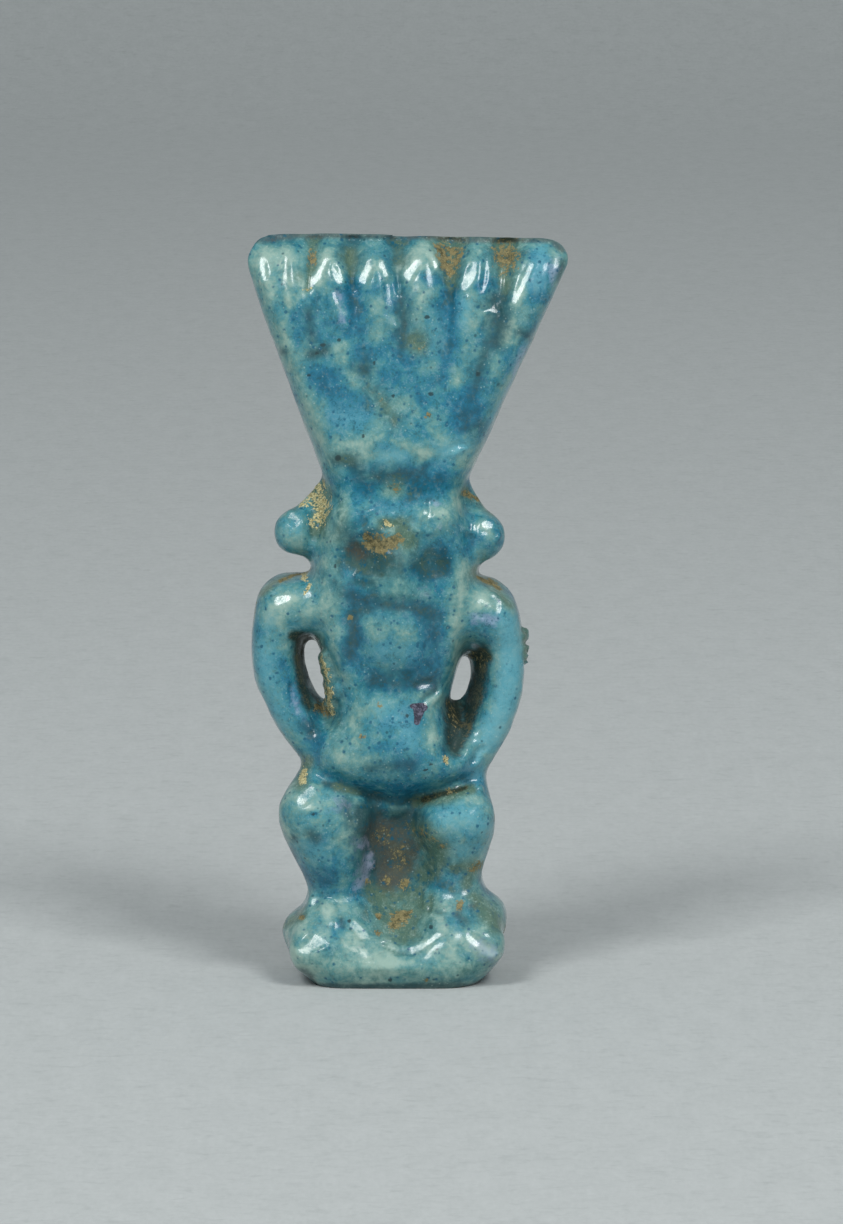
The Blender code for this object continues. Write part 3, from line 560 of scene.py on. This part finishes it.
# Crumbs of the core that stand up on the skin
CRUMBS = {
    "left gap": ((324, 654, 3), (331, 676, 4), (335, 696, 6), (330, 706, 5)),
    "left ear": ((318, 488, 5), (322, 506, 6), (318, 520, 5), 0.4),
    "right arm": ((523, 628, 2), (525, 645, 3), (524, 662, 2), 0.6),
}
CRUMB_HEIGHT = 0.28 * MM
CRUMB_SIZE, CRUMB_RAGGED = 0.35 * MM, 0.5
CRUMB_FROM, CRUMB_TO = 0.3, 0.8

# What the finish reads of these marks alone
MARKED_ALONE = {
    "sky": SKY,
    "rust": RUST,
    "painted_sheen": PAINTED_SHEEN,
    "flake": PURPLE_FLAKE,
    "speck": DARK_SPECKS,
    "matt": MATT,
}


def clear_stage():
    """Takes away what a new Blender file may hold beside the frame."""
    kept = set(frame["nodes"].values()) | set(frame["bodies"].values())
    for obj in list(bpy.data.objects):
        if obj not in kept:
            bpy.data.objects.remove(obj, do_unlink=True)


def add_to_scene(name, data):
    obj = bpy.data.objects.new(name, data)
    bpy.context.scene.collection.objects.link(obj)
    return obj


def smoothstep(low, high, values):
    share = np.clip((values - low) / (high - low), 0, 1)
    return share * share * (3 - 2 * share)


class Skin:
    """The glaze's mesh as arrays, so that all its points are worked on at once."""

    def __init__(self, mesh):
        self.mesh = mesh
        count = len(mesh.vertices)
        self.points = np.empty((count, 3))
        self.read("vertices", "co", self.points)
        edges = np.empty((len(mesh.edges), 2), dtype=np.int64)
        mesh.edges.foreach_get("vertices", edges.ravel())
        self.starts, self.ends = edges[:, 0].copy(), edges[:, 1].copy()
        self.neighbours = np.bincount(edges.ravel(), minlength=count)
        self.seen = np.ones(count)
        self.update()

    def read(self, collection, name, into):
        flat = np.empty(into.size, dtype=np.float32)
        getattr(self.mesh, collection).foreach_get(name, flat)
        into[:] = flat.reshape(into.shape)

    def update(self):
        """Writes the points to the mesh and works out the normals and the photo's view of them again."""
        self.mesh.vertices.foreach_set("co", self.points.astype(np.float32).ravel())
        self.mesh.update()
        self.normals = np.empty_like(self.points)
        self.read("vertex_normals", "vector", self.normals)
        offsets = self.points - np.array(AIM + TO_CAMERA * CAMERA_DISTANCE)
        depths = -offsets @ np.array(TO_CAMERA)
        pixels = LENS / SENSOR * PHOTO_HEIGHT / depths
        self.photo_x = PHOTO_WIDTH / 2 + offsets[:, 0] * pixels
        self.photo_y = PHOTO_HEIGHT / 2 - offsets @ np.array(PHOTO_UP) * pixels
        self.frontness = self.normals @ np.array(TO_CAMERA)
        self.facing = smoothstep(FACING_FROM, FACING_TO, self.frontness) * self.seen

    def blurred(self, values, rounds):
        """Values, or points, each averaged with its neighbours a number of times."""
        columns = values.reshape(len(values), -1)
        count = len(columns)
        for _ in range(rounds):
            near = np.empty_like(columns)
            for k in range(columns.shape[1]):
                column = columns[:, k]
                near[:, k] = np.bincount(self.starts, column[self.ends], count)
                near[:, k] += np.bincount(self.ends, column[self.starts], count)
            columns = (columns + near / self.neighbours[:, None]) / 2
        return columns.reshape(values.shape)

    def soften(self, rounds):
        """Smooths the facets away, and takes back most of what each round shrinks."""
        for _ in range(rounds):
            inwards = self.blurred(self.points, 1) - self.points
            self.points += inwards
            outwards = self.blurred(self.points, 1) - self.points
            self.points -= outwards * FACETS_KEPT * 2
        self.update()

    def raise_by(self, heights):
        self.points += self.normals * heights[:, None]
        self.update()

    def reach(self, mark):
        """How far each point is from the middle of a mark: 1 at its border."""
        places = [place for place in mark if isinstance(place, tuple)]
        if not places:
            x, y, across, up = mark[:4]
            return np.hypot((self.photo_x - x) / across, (self.photo_y - y) / up)
        nearest = np.full(len(self.points), np.inf)
        for _, distance in self.stretches(places):
            nearest = np.minimum(nearest, distance)
        return nearest

    def stretches(self, stroke):
        """For each stretch of a stroke, how far along it each point lies and how far from its middle."""
        for (x0, y0, half0), (x1, y1, half1) in zip(stroke, stroke[1:]):
            run_x, run_y = x1 - x0, y1 - y0
            along = (self.photo_x - x0) * run_x + (self.photo_y - y0) * run_y
            share = np.clip(along / (run_x * run_x + run_y * run_y), 0, 1)
            aside = np.hypot(self.photo_x - x0 - run_x * share, self.photo_y - y0 - run_y * share)
            yield share, aside / (half0 + (half1 - half0) * share)

    def shown_at(self, x, y):
        """The place on the skin that shows at a pixel."""
        missed = np.hypot(self.photo_x - x, self.photo_y - y) + PHOTO_HEIGHT * (self.facing < 0.5)
        return self.points[np.argmin(missed)]

    def turn_to_light(self, stroke):
        """Turns the skin along a stroke until it mirrors the nearer softbox to the camera."""
        ends = [self.shown_at(x, y) for x, y, _ in stroke]
        nearest = np.full(len(self.points), np.inf)
        anchors = np.zeros_like(self.points)
        for (share, distance), start, end in zip(self.stretches(stroke), ends, ends[1:]):
            nearer = distance < nearest
            anchors[nearer] = start + (end - start) * share[nearer, None]
            nearest = np.minimum(nearest, distance)
        side = np.sign(self.normals[(nearest < 1) & (self.facing > 0.5), 0].mean())
        towards = (Vector((side * SOFTBOX_ASIDE, *SOFTBOX_PLACE)) - AIM).normalized()
        facing = np.array((towards + TO_CAMERA).normalized())
        kept = anchors @ facing
        level = kept[(nearest < 1) & (self.facing > 0.5)].mean()
        wanted = level + (kept - level) * GLINT_FOLLOWS
        moved = np.clip(wanted - self.points @ facing, -GLINT_LIMIT, GLINT_LIMIT)
        moved = moved * smoothstep(GLINT_FROM, GLINT_TO, nearest) * self.facing
        self.points += facing * moved[:, None]

    def marked(self, marks, turned_away=FACING_FROM):
        """How deep each point lies in marks: 1 at a middle, half at a border, and 0 twice as far out."""
        depth = np.zeros(len(self.points))
        for mark in marks.values():
            sized = isinstance(mark[0], tuple) or len(mark) == 5
            strength = mark[-1] if sized and not isinstance(mark[-1], tuple) else 1
            depth = np.maximum(depth, np.clip(1 - self.reach(mark) / 2, 0, 1) * strength)
        return depth * smoothstep(turned_away, turned_away + FACING_FADE, self.frontness) * self.seen

    def ridge(self, crest):
        """1 along a stroke on the front, falling to 0 at its borders."""
        return smoothstep(1, 0, self.reach(crest)) * self.facing

    def noise(self, size, seed):
        """Smooth noise about 0 whose swells are about the given size."""
        shift = Vector([seed * step for step in NOISE_SHIFT])
        return np.array([noise.noise(Vector(point) / size + shift) for point in self.points])

    def tree(self):
        corners = [tuple(face.vertices) for face in self.mesh.polygons]
        return BVHTree.FromPolygons([Vector(point) for point in self.points], corners)

    def hide_behind(self):
        """Finds what the photo's camera can't see because another form stands in front of it."""
        tree = self.tree()
        ahead = TO_CAMERA * SEEN_LIFT
        shown = [tree.ray_cast(Vector(point) + ahead, TO_CAMERA)[0] is None for point in self.points]
        self.seen = self.blurred(np.array(shown, dtype=float), SEEN_BLUR)
        self.update()

    def closed_in(self):
        """How much of what each point faces is blocked close by: 0 in the open and 1 in a deep gap."""
        tree = self.tree()
        rays = []
        for ring, (turn, count) in enumerate(GAP_RAYS):
            for step in range(count):
                around = math.radians(360) * (step + ring / 2) / count
                up, out = math.cos(math.radians(turn)), math.sin(math.radians(turn))
                rays.append((Vector((out * math.cos(around), out * math.sin(around), up)), up))
        total = sum(weight for _, weight in rays)
        blocked = np.zeros(len(self.points))
        known = np.zeros(len(self.points))
        for index in range(0, len(self.points), GAP_STEP):
            normal = Vector(self.normals[index])
            turned = normal.to_track_quat("Z", "Y")
            start = Vector(self.points[index]) + normal * GAP_LIFT
            shut = 0.0
            for ray, weight in rays:
                distance = tree.ray_cast(start, turned @ ray, GAP_REACH)[3]
                if distance is not None:
                    shut += weight * (1 - distance / GAP_REACH)
            blocked[index] = shut / total
            known[index] = 1.0
        spread = self.blurred(np.column_stack((blocked, known)), GAP_BLUR)
        return spread[:, 0] / np.maximum(spread[:, 1], 1e-9)

    def store(self, name, values):
        attribute = self.mesh.attributes.new(name, "FLOAT", "POINT")
        attribute.data.foreach_set("value", np.clip(values, 0, 1).astype(np.float32))


def drawn_over(node):
    """An even, fine mesh over the node's solid."""
    shell = bmesh.new()
    shell.from_mesh(node.data)
    bmesh.ops.remove_doubles(shell, verts=shell.verts, dist=WELD)
    mesh = bpy.data.meshes.new("shell")
    shell.to_mesh(mesh)
    shell.free()
    coarse = add_to_scene("coarse", mesh)
    remesh = coarse.modifiers.new("Even grain", "REMESH")
    remesh.mode = "VOXEL"
    remesh.voxel_size = SKIN_GRAIN
    graph = bpy.context.evaluated_depsgraph_get()
    fine = bpy.data.meshes.new_from_object(coarse.evaluated_get(graph))
    bpy.data.objects.remove(coarse)
    bpy.data.meshes.remove(mesh)
    return fine


def flatten_foot(skin):
    """Puts the underside back on the ground, flat."""
    low = skin.points[:, 2] < FOOT
    skin.points[low, 2] = 0
    skin.update()


class Value:
    """A socket in a finish. Arithmetic on it adds the Math nodes that it needs."""

    def __init__(self, finish, socket):
        self.finish = finish
        self.socket = socket

    def math(self, operation, *others, clamp=False):
        settings = {"operation": operation, "use_clamp": clamp}
        return self.finish.node("ShaderNodeMath", settings, dict(enumerate((self, *others))))

    def __add__(self, other):
        return self.math("ADD", other)

    def __sub__(self, other):
        return self.math("SUBTRACT", other)

    def __mul__(self, other):
        return self.math("MULTIPLY", other)

    def __rsub__(self, other):
        return self.math("MULTIPLY", -1).math("ADD", other)

    __radd__ = __add__
    __rmul__ = __mul__

    def clamped(self):
        return self.math("ADD", 0.0, clamp=True)

    def above(self, low, high):
        """0 below low, 1 above high, and smooth between them."""
        settings = {"interpolation_type": "SMOOTHSTEP"}
        values = {"Value": self, "From Min": low, "From Max": high, "To Min": 0.0, "To Max": 1.0}
        return self.finish.node("ShaderNodeMapRange", settings, values)


class Finish:
    """A material and the nodes in it."""

    def __init__(self, name):
        self.material = bpy.data.materials.new(name)
        self.material.use_nodes = True
        self.nodes = self.material.node_tree.nodes
        self.links = self.material.node_tree.links
        self.nodes.clear()

    def node(self, kind, settings=None, values=None, output=0):
        """Adds a node: its settings first, then its sockets' values or links. Gives one output."""
        made = self.nodes.new(kind)
        for name, setting in (settings or {}).items():
            setattr(made, name, setting)
        for name, value in (values or {}).items():
            if isinstance(value, Value):
                self.links.new(value.socket, made.inputs[name])
            else:
                made.inputs[name].default_value = value
        return Value(self, made.outputs[output]) if made.outputs else None

    def attribute(self, name):
        return self.node("ShaderNodeAttribute", {"attribute_name": name}, output="Fac")

    def place(self):
        return self.node("ShaderNodeTexCoord", output="Object")

    def noise(self, place, size, detail=3.0, roughness=0.5, distortion=0.0):
        """Cloudy noise about 0.5, whose features are about the given size in metres."""
        values = {
            "Vector": place,
            "Scale": 1 / size,
            "Detail": detail,
            "Roughness": roughness,
            "Distortion": distortion,
        }
        return self.node("ShaderNodeTexNoise", {"noise_dimensions": "3D"}, values)

    def specks(self, place, spacing):
        """How far each place is from the middle of its speck, and the speck's own number from 0 to 1."""
        values = {"Vector": place, "Scale": 1 / spacing}
        distance = self.node("ShaderNodeTexVoronoi", values=values, output="Distance")
        return distance, self.node("ShaderNodeTexVoronoi", values=values, output="Color")

    def mixed(self, share, first, second):
        """The first colour where share is 0 and the second where it is 1."""
        settings = {"data_type": "RGBA", "clamp_factor": True}
        return self.node("ShaderNodeMix", settings, {0: share, 6: first, 7: second}, output=2)


def colour(red, green, blue):
    return (red, green, blue, 1.0)


# The glaze's colours, from where it is thinnest to where it pooled
GLAZE_TINTS = (
    colour(0.27, 0.405, 0.350),
    colour(0.115, 0.275, 0.262),
    colour(0.034, 0.205, 0.252),
    colour(0.003, 0.140, 0.240),
    colour(0.002, 0.070, 0.112),
)
TINT_STEP, TINT_BLEND = 0.25, 0.06  # how much deeper the glaze is at the next tint, and how they overlap
# Its stains, where the slate stain carries a painted contact shadow and the violet one is a painted sheen:
# how deep in its marks each begins and is whole, how ragged and strong it is, and its colour
STAINS = {
    "sky": (0.0, 1.1, 0.9, 0.8, colour(0.105, 0.350, 0.430)),
    "slate_and_shade": (0.0, 1.15, 0.9, 0.9, colour(0.014, 0.050, 0.056)),
    "olive": (0.1, 1.05, 1.2, 0.85, colour(0.080, 0.135, 0.082)),
    "rust": (0.1, 1.1, 0.9, 0.65, colour(0.075, 0.055, 0.042)),
    "painted_sheen": (0.2, 1.1, 1.8, 0.45, colour(0.36, 0.40, 0.55)),
}
# The rust and the painted violet sheen show only inside their marks
KEPT_TO_MARKS = ("rust", "painted_sheen")  # the stains that never show outside their marks
MILK = colour(0.33, 0.48, 0.45)
CLEAR = colour(0.002, 0.078, 0.112)
# Its specks, from spacing to colour
DOT_SPACING, DOT_COLOUR = 0.34 * MM, colour(0.001, 0.085, 0.150)
SPOT_SPACING, SPOT_COLOUR = 0.6 * MM, colour(0.003, 0.055, 0.075)
GRIT_SPACING, GRIT_AND_SPARKLE_COLOUR = 0.17 * MM, colour(0.46, 0.60, 0.56)
SPECK_COLOUR = colour(0.012, 0.035, 0.04)
GRIME_AND_SHADE_COLOURS = (colour(0.010, 0.017, 0.009), colour(0.080, 0.072, 0.030))
CORE_COLOURS = (colour(0.066, 0.060, 0.026), colour(0.215, 0.182, 0.086))
CORE_SAND = colour(0.38, 0.32, 0.16)
CREAM_COLOURS = (colour(0.25, 0.22, 0.10), colour(0.56, 0.51, 0.28))
FLAKE_COLOURS = (colour(0.028, 0.030, 0.050), colour(0.12, 0.12, 0.17))


def glaze_finish():
    finish = Finish("turquoise glaze")
    place = finish.place()
    mottle = finish.noise(place, 2.0 * MM, 3.0, 0.55, 0.6) - 0.5
    blotch = finish.noise(place, 0.75 * MM, 3.0, 0.6, 0.4) - 0.5
    wisps = finish.noise(place, 0.40 * MM, 3.0, 0.6, 0.8) - 0.5
    grain = finish.noise(place, 0.22 * MM, 3.0, 0.7) - 0.5
    fine = finish.noise(place, 0.08 * MM, 2.0, 0.6) - 0.5

    def patch(name, low, high, ragged):
        """A stain whose border is broken up by the glaze's own mottling."""
        return (finish.attribute(name) + blotch * ragged + grain * ragged * 0.6).above(low, high)

    pool = finish.attribute("pool") + mottle * 0.95 + blotch * 0.95 + grain * 0.65 + fine * 0.45
    base = GLAZE_TINTS[0]
    for step, tint in enumerate(GLAZE_TINTS[1:]):
        begun, whole = TINT_STEP * step - TINT_BLEND, TINT_STEP * (step + 1) + TINT_BLEND
        base = finish.mixed(pool.above(begun, whole), base, tint)
    for name, (begun, whole, ragged, strength, tint) in STAINS.items():
        stain = patch(name, begun, whole, ragged)
        if name in KEPT_TO_MARKS:
            stain = stain * finish.attribute(name).above(0.0, 0.2)
        base = finish.mixed(stain * strength, base, tint)

    # Milky and clear wisps
    milky = (wisps * 1.5 + grain + fine * 1.3).above(0.0, 0.5)
    lively = (1.05 - finish.attribute("sky") * 0.45).clamped()
    milky = milky * lively * (1.0 - finish.attribute("slate_and_shade") * 0.75) * (1.4 - pool).clamped()
    base = finish.mixed(milky * 0.38, base, MILK)
    clear = (0.0 - wisps * 1.5 - grain - fine * 1.3).above(0.0, 0.5)
    base = finish.mixed(clear * lively * (0.3 + pool).clamped() * 0.95, base, CLEAR)

    # Dots and spots of metal in the glaze, pale grit in it with painted sparkles, and dirt with painted
    # shade on it
    dots, chosen = finish.specks(place, DOT_SPACING)
    dotted = 1.0 - (dots + grain * 0.6).above(0.08, 0.32)
    dotted = dotted * (chosen + pool * 0.6 + blotch * 0.9).above(0.62, 0.88)
    base = finish.mixed(dotted * 0.85, base, DOT_COLOUR)
    spots, chosen = finish.specks(place, SPOT_SPACING)
    spotted = (1.0 - (spots + grain * 0.15).above(0.05, 0.16)) * chosen.above(0.54, 0.60)
    base = finish.mixed(spotted * 0.7, base, SPOT_COLOUR)
    # Pale grit, and painted sparkles where tiny glints fall
    grits, chosen = finish.specks(place, GRIT_SPACING)
    grit_and_sparkle = (1.0 - (grits + grain * 0.5).above(0.06, 0.30)) * chosen.above(0.62, 0.8)
    base = finish.mixed(grit_and_sparkle * 0.3, base, GRIT_AND_SPARKLE_COLOUR)
    base = finish.mixed(finish.attribute("speck").above(0.35, 0.6) * 0.85, base, SPECK_COLOUR)
    grime_and_shade = patch("grime_and_shade", 0.12, 0.85, 0.7)
    dirt_and_shade = finish.mixed((grain + fine + blotch).above(-0.1, 0.3), *GRIME_AND_SHADE_COLOURS)
    base = finish.mixed(grime_and_shade * 0.88, base, dirt_and_shade)

    # The bare core, its pale crust, and the purple flake
    worn = (finish.attribute("worn") + blotch * 0.9 + grain * 1.9 + fine * 0.9).above(0.42, 0.72)
    worn = worn * finish.attribute("worn").above(0.04, 0.2)
    core = finish.mixed(grain.above(-0.14, 0.12), *CORE_COLOURS)
    core = finish.mixed(fine.above(0.02, 0.2) * 0.5, core, CORE_SAND)
    base = finish.mixed(worn * 0.95, base, core)
    crust = (finish.attribute("cream") * 0.75 + blotch * 1.1 + grain * 2.2 + fine).above(0.40, 0.52)
    crust = crust * finish.attribute("cream").above(0.05, 0.2)
    base = finish.mixed(crust * 0.95, base, finish.mixed(fine.above(-0.12, 0.12), *CREAM_COLOURS))
    flake = (finish.attribute("flake") + grain * 0.5).above(0.46, 0.54)
    base = finish.mixed(flake, base, finish.mixed((grain + fine).above(-0.05, 0.2), *FLAKE_COLOURS))

    matt = finish.attribute("matt")
    bare = (worn + crust + grime_and_shade * 0.7).clamped()
    broken = (blotch + grain * 1.2 + fine * 0.8).above(-0.02, 0.22) * 0.45
    rough = 0.5 + worn * 2.0 + crust * 2.0 + flake * 2.0
    bumps = grain * rough + blotch * 0.8 + crust * 0.6 - dotted * 0.2
    relief = {"Strength": 0.7, "Distance": 0.02 * MM, "Height": bumps}
    bump = finish.node("ShaderNodeBump", values=relief)
    shader = finish.node(
        "ShaderNodeBsdfPrincipled",
        values={
            "Base Color": base,
            "Roughness": (0.34 + bare * 0.4 + matt * 0.3 + mottle * 0.3 + blotch * 0.3).clamped(),
            "Specular IOR Level": 0.2,
            "Normal": bump,
            "Coat Weight": (0.95 - broken - bare - matt * 1.1).clamped(),
            "Coat Roughness": 0.14,
            "Coat IOR": 1.42,
        },
    )
    finish.node("ShaderNodeOutputMaterial", values={"Surface": shader})
    return finish.material


def carve(skin):
    """Presses into the skin what is too fine for the solid."""
    calm = np.clip(skin.marked(SMOOTHED), 0, 1)[:, None]
    rounds = round((2 * SMOOTHED_BY / SKIN_GRAIN) ** 2)
    skin.points += (skin.blurred(skin.points, rounds) - skin.points) * calm
    skin.update()
    chipped = skin.marked(CHIP) + skin.noise(CHIP_RAGS, 1) * CHIP_RAGGED
    skin.raise_by(-CHIP_DEPTH * smoothstep(CHIP_FROM, CHIP_TO, chipped))
    for hollow in HOLLOWS.values():
        skin.points[:, 1] += HOLLOW_DEPTH * skin.ridge(hollow)
    heights = np.zeros(len(skin.points))
    for seed, (size, height) in enumerate(RIPPLES, start=2):
        heights += height * skin.noise(size, seed)
    crumbs = skin.marked(CRUMBS, turned_away=-0.4) + skin.noise(CRUMB_SIZE, 7) * CRUMB_RAGGED
    skin.raise_by(heights + CRUMB_HEIGHT * smoothstep(CRUMB_FROM, CRUMB_TO, crumbs))
    for stroke in GLINTS.values():
        skin.turn_to_light(stroke)
    rim = smoothstep(RIM_FROM, RIM_TO, skin.points[:, 2])[:, None]
    skin.points += (skin.blurred(skin.points, RIM_BLUR) - skin.points) * rim
    skin.update()


# Forms show by how far the skin lies in from a blurred one: the rounds of blur, and a full depth
HOLLOW_ROUNDS, HOLLOW_FULL = 120, 0.10 * MM
CREASE_ROUNDS, CREASE_FULL = 24, 0.03 * MM
# The sizes of what the noise paints where the photo shows nothing
CLOUD_SIZE, SPOT_SIZE, FLECK_SIZE = 2.6 * MM, 1.5 * MM, 0.9 * MM
POOL_EVEN, POOL_DEEPER, POOL_THINNER = 0.47, 0.36, 0.32  # the glaze's depth, and what marks add or take
PAINTED_CONTACT_SHADOW = (0.4 * MM, 0.05 * MM)  # the dark line along the ground begins and is whole at these heights


def colour_in(skin):
    """Stores where the glaze pooled, thinned, wore off or was stained, and where light and shade are
    painted, for the finish to read.
    """

    def inwards(rounds, full):
        return ((skin.blurred(skin.points, rounds) - skin.points) * skin.normals).sum(axis=1) / full

    hollow = np.clip(inwards(HOLLOW_ROUNDS, HOLLOW_FULL), -1, 1)
    crease = smoothstep(0.3, 1.0, inwards(CREASE_ROUNDS, CREASE_FULL))
    # Painted shade, darker where the skin is closed in by a gap
    gap = smoothstep(0.42, 0.85, skin.closed_in())
    # A painted contact shadow along the ground
    foot = smoothstep(*PAINTED_CONTACT_SHADOW, skin.points[:, 2])
    unseen = 1 - skin.facing
    clouds = skin.noise(CLOUD_SIZE, 11)
    spots = skin.noise(SPOT_SIZE, 12)
    flecks = skin.noise(FLECK_SIZE, 13)
    stormy = unseen * 0.5 * smoothstep(0.2, 0.6, -clouds)
    mossy = unseen * 0.7 * smoothstep(0.15, 0.5, spots)
    rubbed = smoothstep(0.35, 0.85, spots + 0.2 * flecks) + 0.4 * smoothstep(0.6, 1.2, flecks - hollow)
    # Pale marks thin the glaze, and some of them are painted highlights
    pale = skin.marked(PALE_AND_PAINTED_HIGHLIGHTS)
    pool = POOL_EVEN + POOL_DEEPER * skin.marked(DEEP_BLUE) - POOL_THINNER * pale
    skin.store("pool", pool + (0.06 * hollow + unseen * 0.30 * clouds))
    skin.store("slate_and_shade", skin.marked(SLATE_AND_SHADE) + foot * 0.8 + crease * 0.2 + stormy)
    skin.store("olive", skin.marked(OLIVE, turned_away=-0.3) + crease * 0.2 + mossy)
    skin.store("grime_and_shade", np.maximum(skin.marked(GRIME_AND_PAINTED_SHADE, turned_away=-0.5), gap) - 1.2 * pale)
    skin.store("worn", skin.marked(WORN_TO_THE_CORE) + unseen * rubbed)
    skin.store("cream", skin.marked(CREAM, turned_away=-0.5))
    for name, marks in MARKED_ALONE.items():
        skin.store(name, skin.marked(marks))


def make_glaze():
    node = frame["nodes"]["amulet"]
    skin = Skin(drawn_over(node))
    skin.soften(round((2 * SKIN_BLUR / SKIN_GRAIN) ** 2))
    skin.hide_behind()
    carve(skin)
    flatten_foot(skin)
    colour_in(skin)
    skin.mesh.materials.clear()
    skin.mesh.materials.append(glaze_finish())
    skin.mesh.shade_smooth()
    glaze = add_to_scene("glaze", skin.mesh)
    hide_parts("amulet")
    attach(glaze, "root")
    return glaze


# The grey sweep: a flat round floor whose rim rises all round, and the grey card that it is made of
SWEEP_FLAT = 450 * MM
SWEEP_RISE = 350 * MM
SWEEP_RINGS, SWEEP_BENDS, SWEEP_SIDES = 10, 12, 96
CARD_COLOURS = (colour(0.40, 0.43, 0.425), colour(0.54, 0.57, 0.565))
CARD_STRETCH = (1.0, 0.3, 1.0)
FIBRE_STRETCH = (1.0, 5.0, 1.0)
FIBRES = ((15, 3), (70, 17), (130, 31))  # the directions of the card's fibres and a shift


def card_finish():
    finish = Finish("grey card")
    place = finish.node("ShaderNodeMapping", values={"Vector": finish.place(), "Scale": CARD_STRETCH})
    cloud = finish.noise(place, 1.3 * MM, 3.0, 0.6) - 0.5
    speckle = finish.noise(place, 0.28 * MM, 2.0, 0.7) - 0.5
    fibres = 0.0
    for turn, shift in FIBRES:
        run = {
            "Vector": place,
            "Location": (shift * MM, 0.0, 0.0),
            "Rotation": (0.0, 0.0, math.radians(turn)),
            "Scale": FIBRE_STRETCH,
        }
        along = finish.node("ShaderNodeMapping", values=run)
        fibres = finish.noise(along, 1.1 * MM, 2.0, 0.5, 0.6).above(0.55, 0.75) + fibres
    shade = cloud * 0.5 + speckle * 0.6 + 0.55 - fibres * 0.2
    card = finish.mixed(shade.clamped(), *CARD_COLOURS)
    shader = finish.node("ShaderNodeBsdfPrincipled", values={"Base Color": card, "Roughness": 0.9})
    finish.node("ShaderNodeOutputMaterial", values={"Surface": shader})
    return finish.material


def make_sweep():
    """A dish turned from a profile: flat where the amulet stands, and curving up far off all round."""
    dish = bmesh.new()
    profile = [dish.verts.new((0, 0, 0))]
    for ring in range(1, SWEEP_RINGS + 1):
        profile.append(dish.verts.new((SWEEP_FLAT * ring / SWEEP_RINGS, 0, 0)))
    for bend in range(1, SWEEP_BENDS + 1):
        turn = math.radians(90) * bend / SWEEP_BENDS
        out = SWEEP_FLAT + SWEEP_RISE * math.sin(turn)
        profile.append(dish.verts.new((out, 0, SWEEP_RISE * (1 - math.cos(turn)))))
    for low, high in zip(profile, profile[1:]):
        dish.edges.new((low, high))
    bmesh.ops.spin(
        dish,
        geom=dish.verts[:] + dish.edges[:],
        axis=(0, 0, 1),
        cent=(0, 0, 0),
        steps=SWEEP_SIDES,
        angle=math.radians(360),
        use_merge=True,
    )
    bmesh.ops.remove_doubles(dish, verts=dish.verts, dist=WELD)
    bmesh.ops.recalc_face_normals(dish, faces=dish.faces)
    mesh = bpy.data.meshes.new("sweep")
    dish.to_mesh(mesh)
    dish.free()
    mesh.shade_smooth()
    mesh.materials.append(card_finish())
    add_to_scene("sweep", mesh)


def add_softbox(name, side):
    data = bpy.data.lights.new(name, "AREA")
    data.shape = "SQUARE"
    data.size = SOFTBOX_SIZE
    data.energy = SOFTBOX_POWER
    light = add_to_scene(name, data)
    light.location = (side * SOFTBOX_ASIDE, *SOFTBOX_PLACE)
    light.rotation_mode = "QUATERNION"
    light.rotation_quaternion = (light.location - AIM).to_track_quat("Z", "Y")
    light.visible_camera = False


def light_room():
    world = bpy.data.worlds.new("studio")
    world.use_nodes = True
    background = world.node_tree.nodes["Background"]
    background.inputs["Color"].default_value = ROOM_COLOUR
    background.inputs["Strength"].default_value = ROOM_STRENGTH
    bpy.context.scene.world = world


def add_camera():
    data = bpy.data.cameras.new("camera")
    data.sensor_fit = "VERTICAL"
    data.sensor_width = data.sensor_height = SENSOR
    data.lens = LENS
    data.clip_start = CLIP_START
    data.clip_end = CLIP_END
    camera = add_to_scene("camera", data)
    camera.location = AIM + TO_CAMERA * CAMERA_DISTANCE
    camera.rotation_mode = "QUATERNION"
    camera.rotation_quaternion = TO_CAMERA.to_track_quat("Z", "Y")
    bpy.context.scene.camera = camera


clear_stage()
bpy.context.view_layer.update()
make_glaze()
make_sweep()
add_softbox("left softbox", -1)
add_softbox("right softbox", 1)
light_room()
add_camera()
bpy.context.scene.view_settings.view_transform = "Standard"
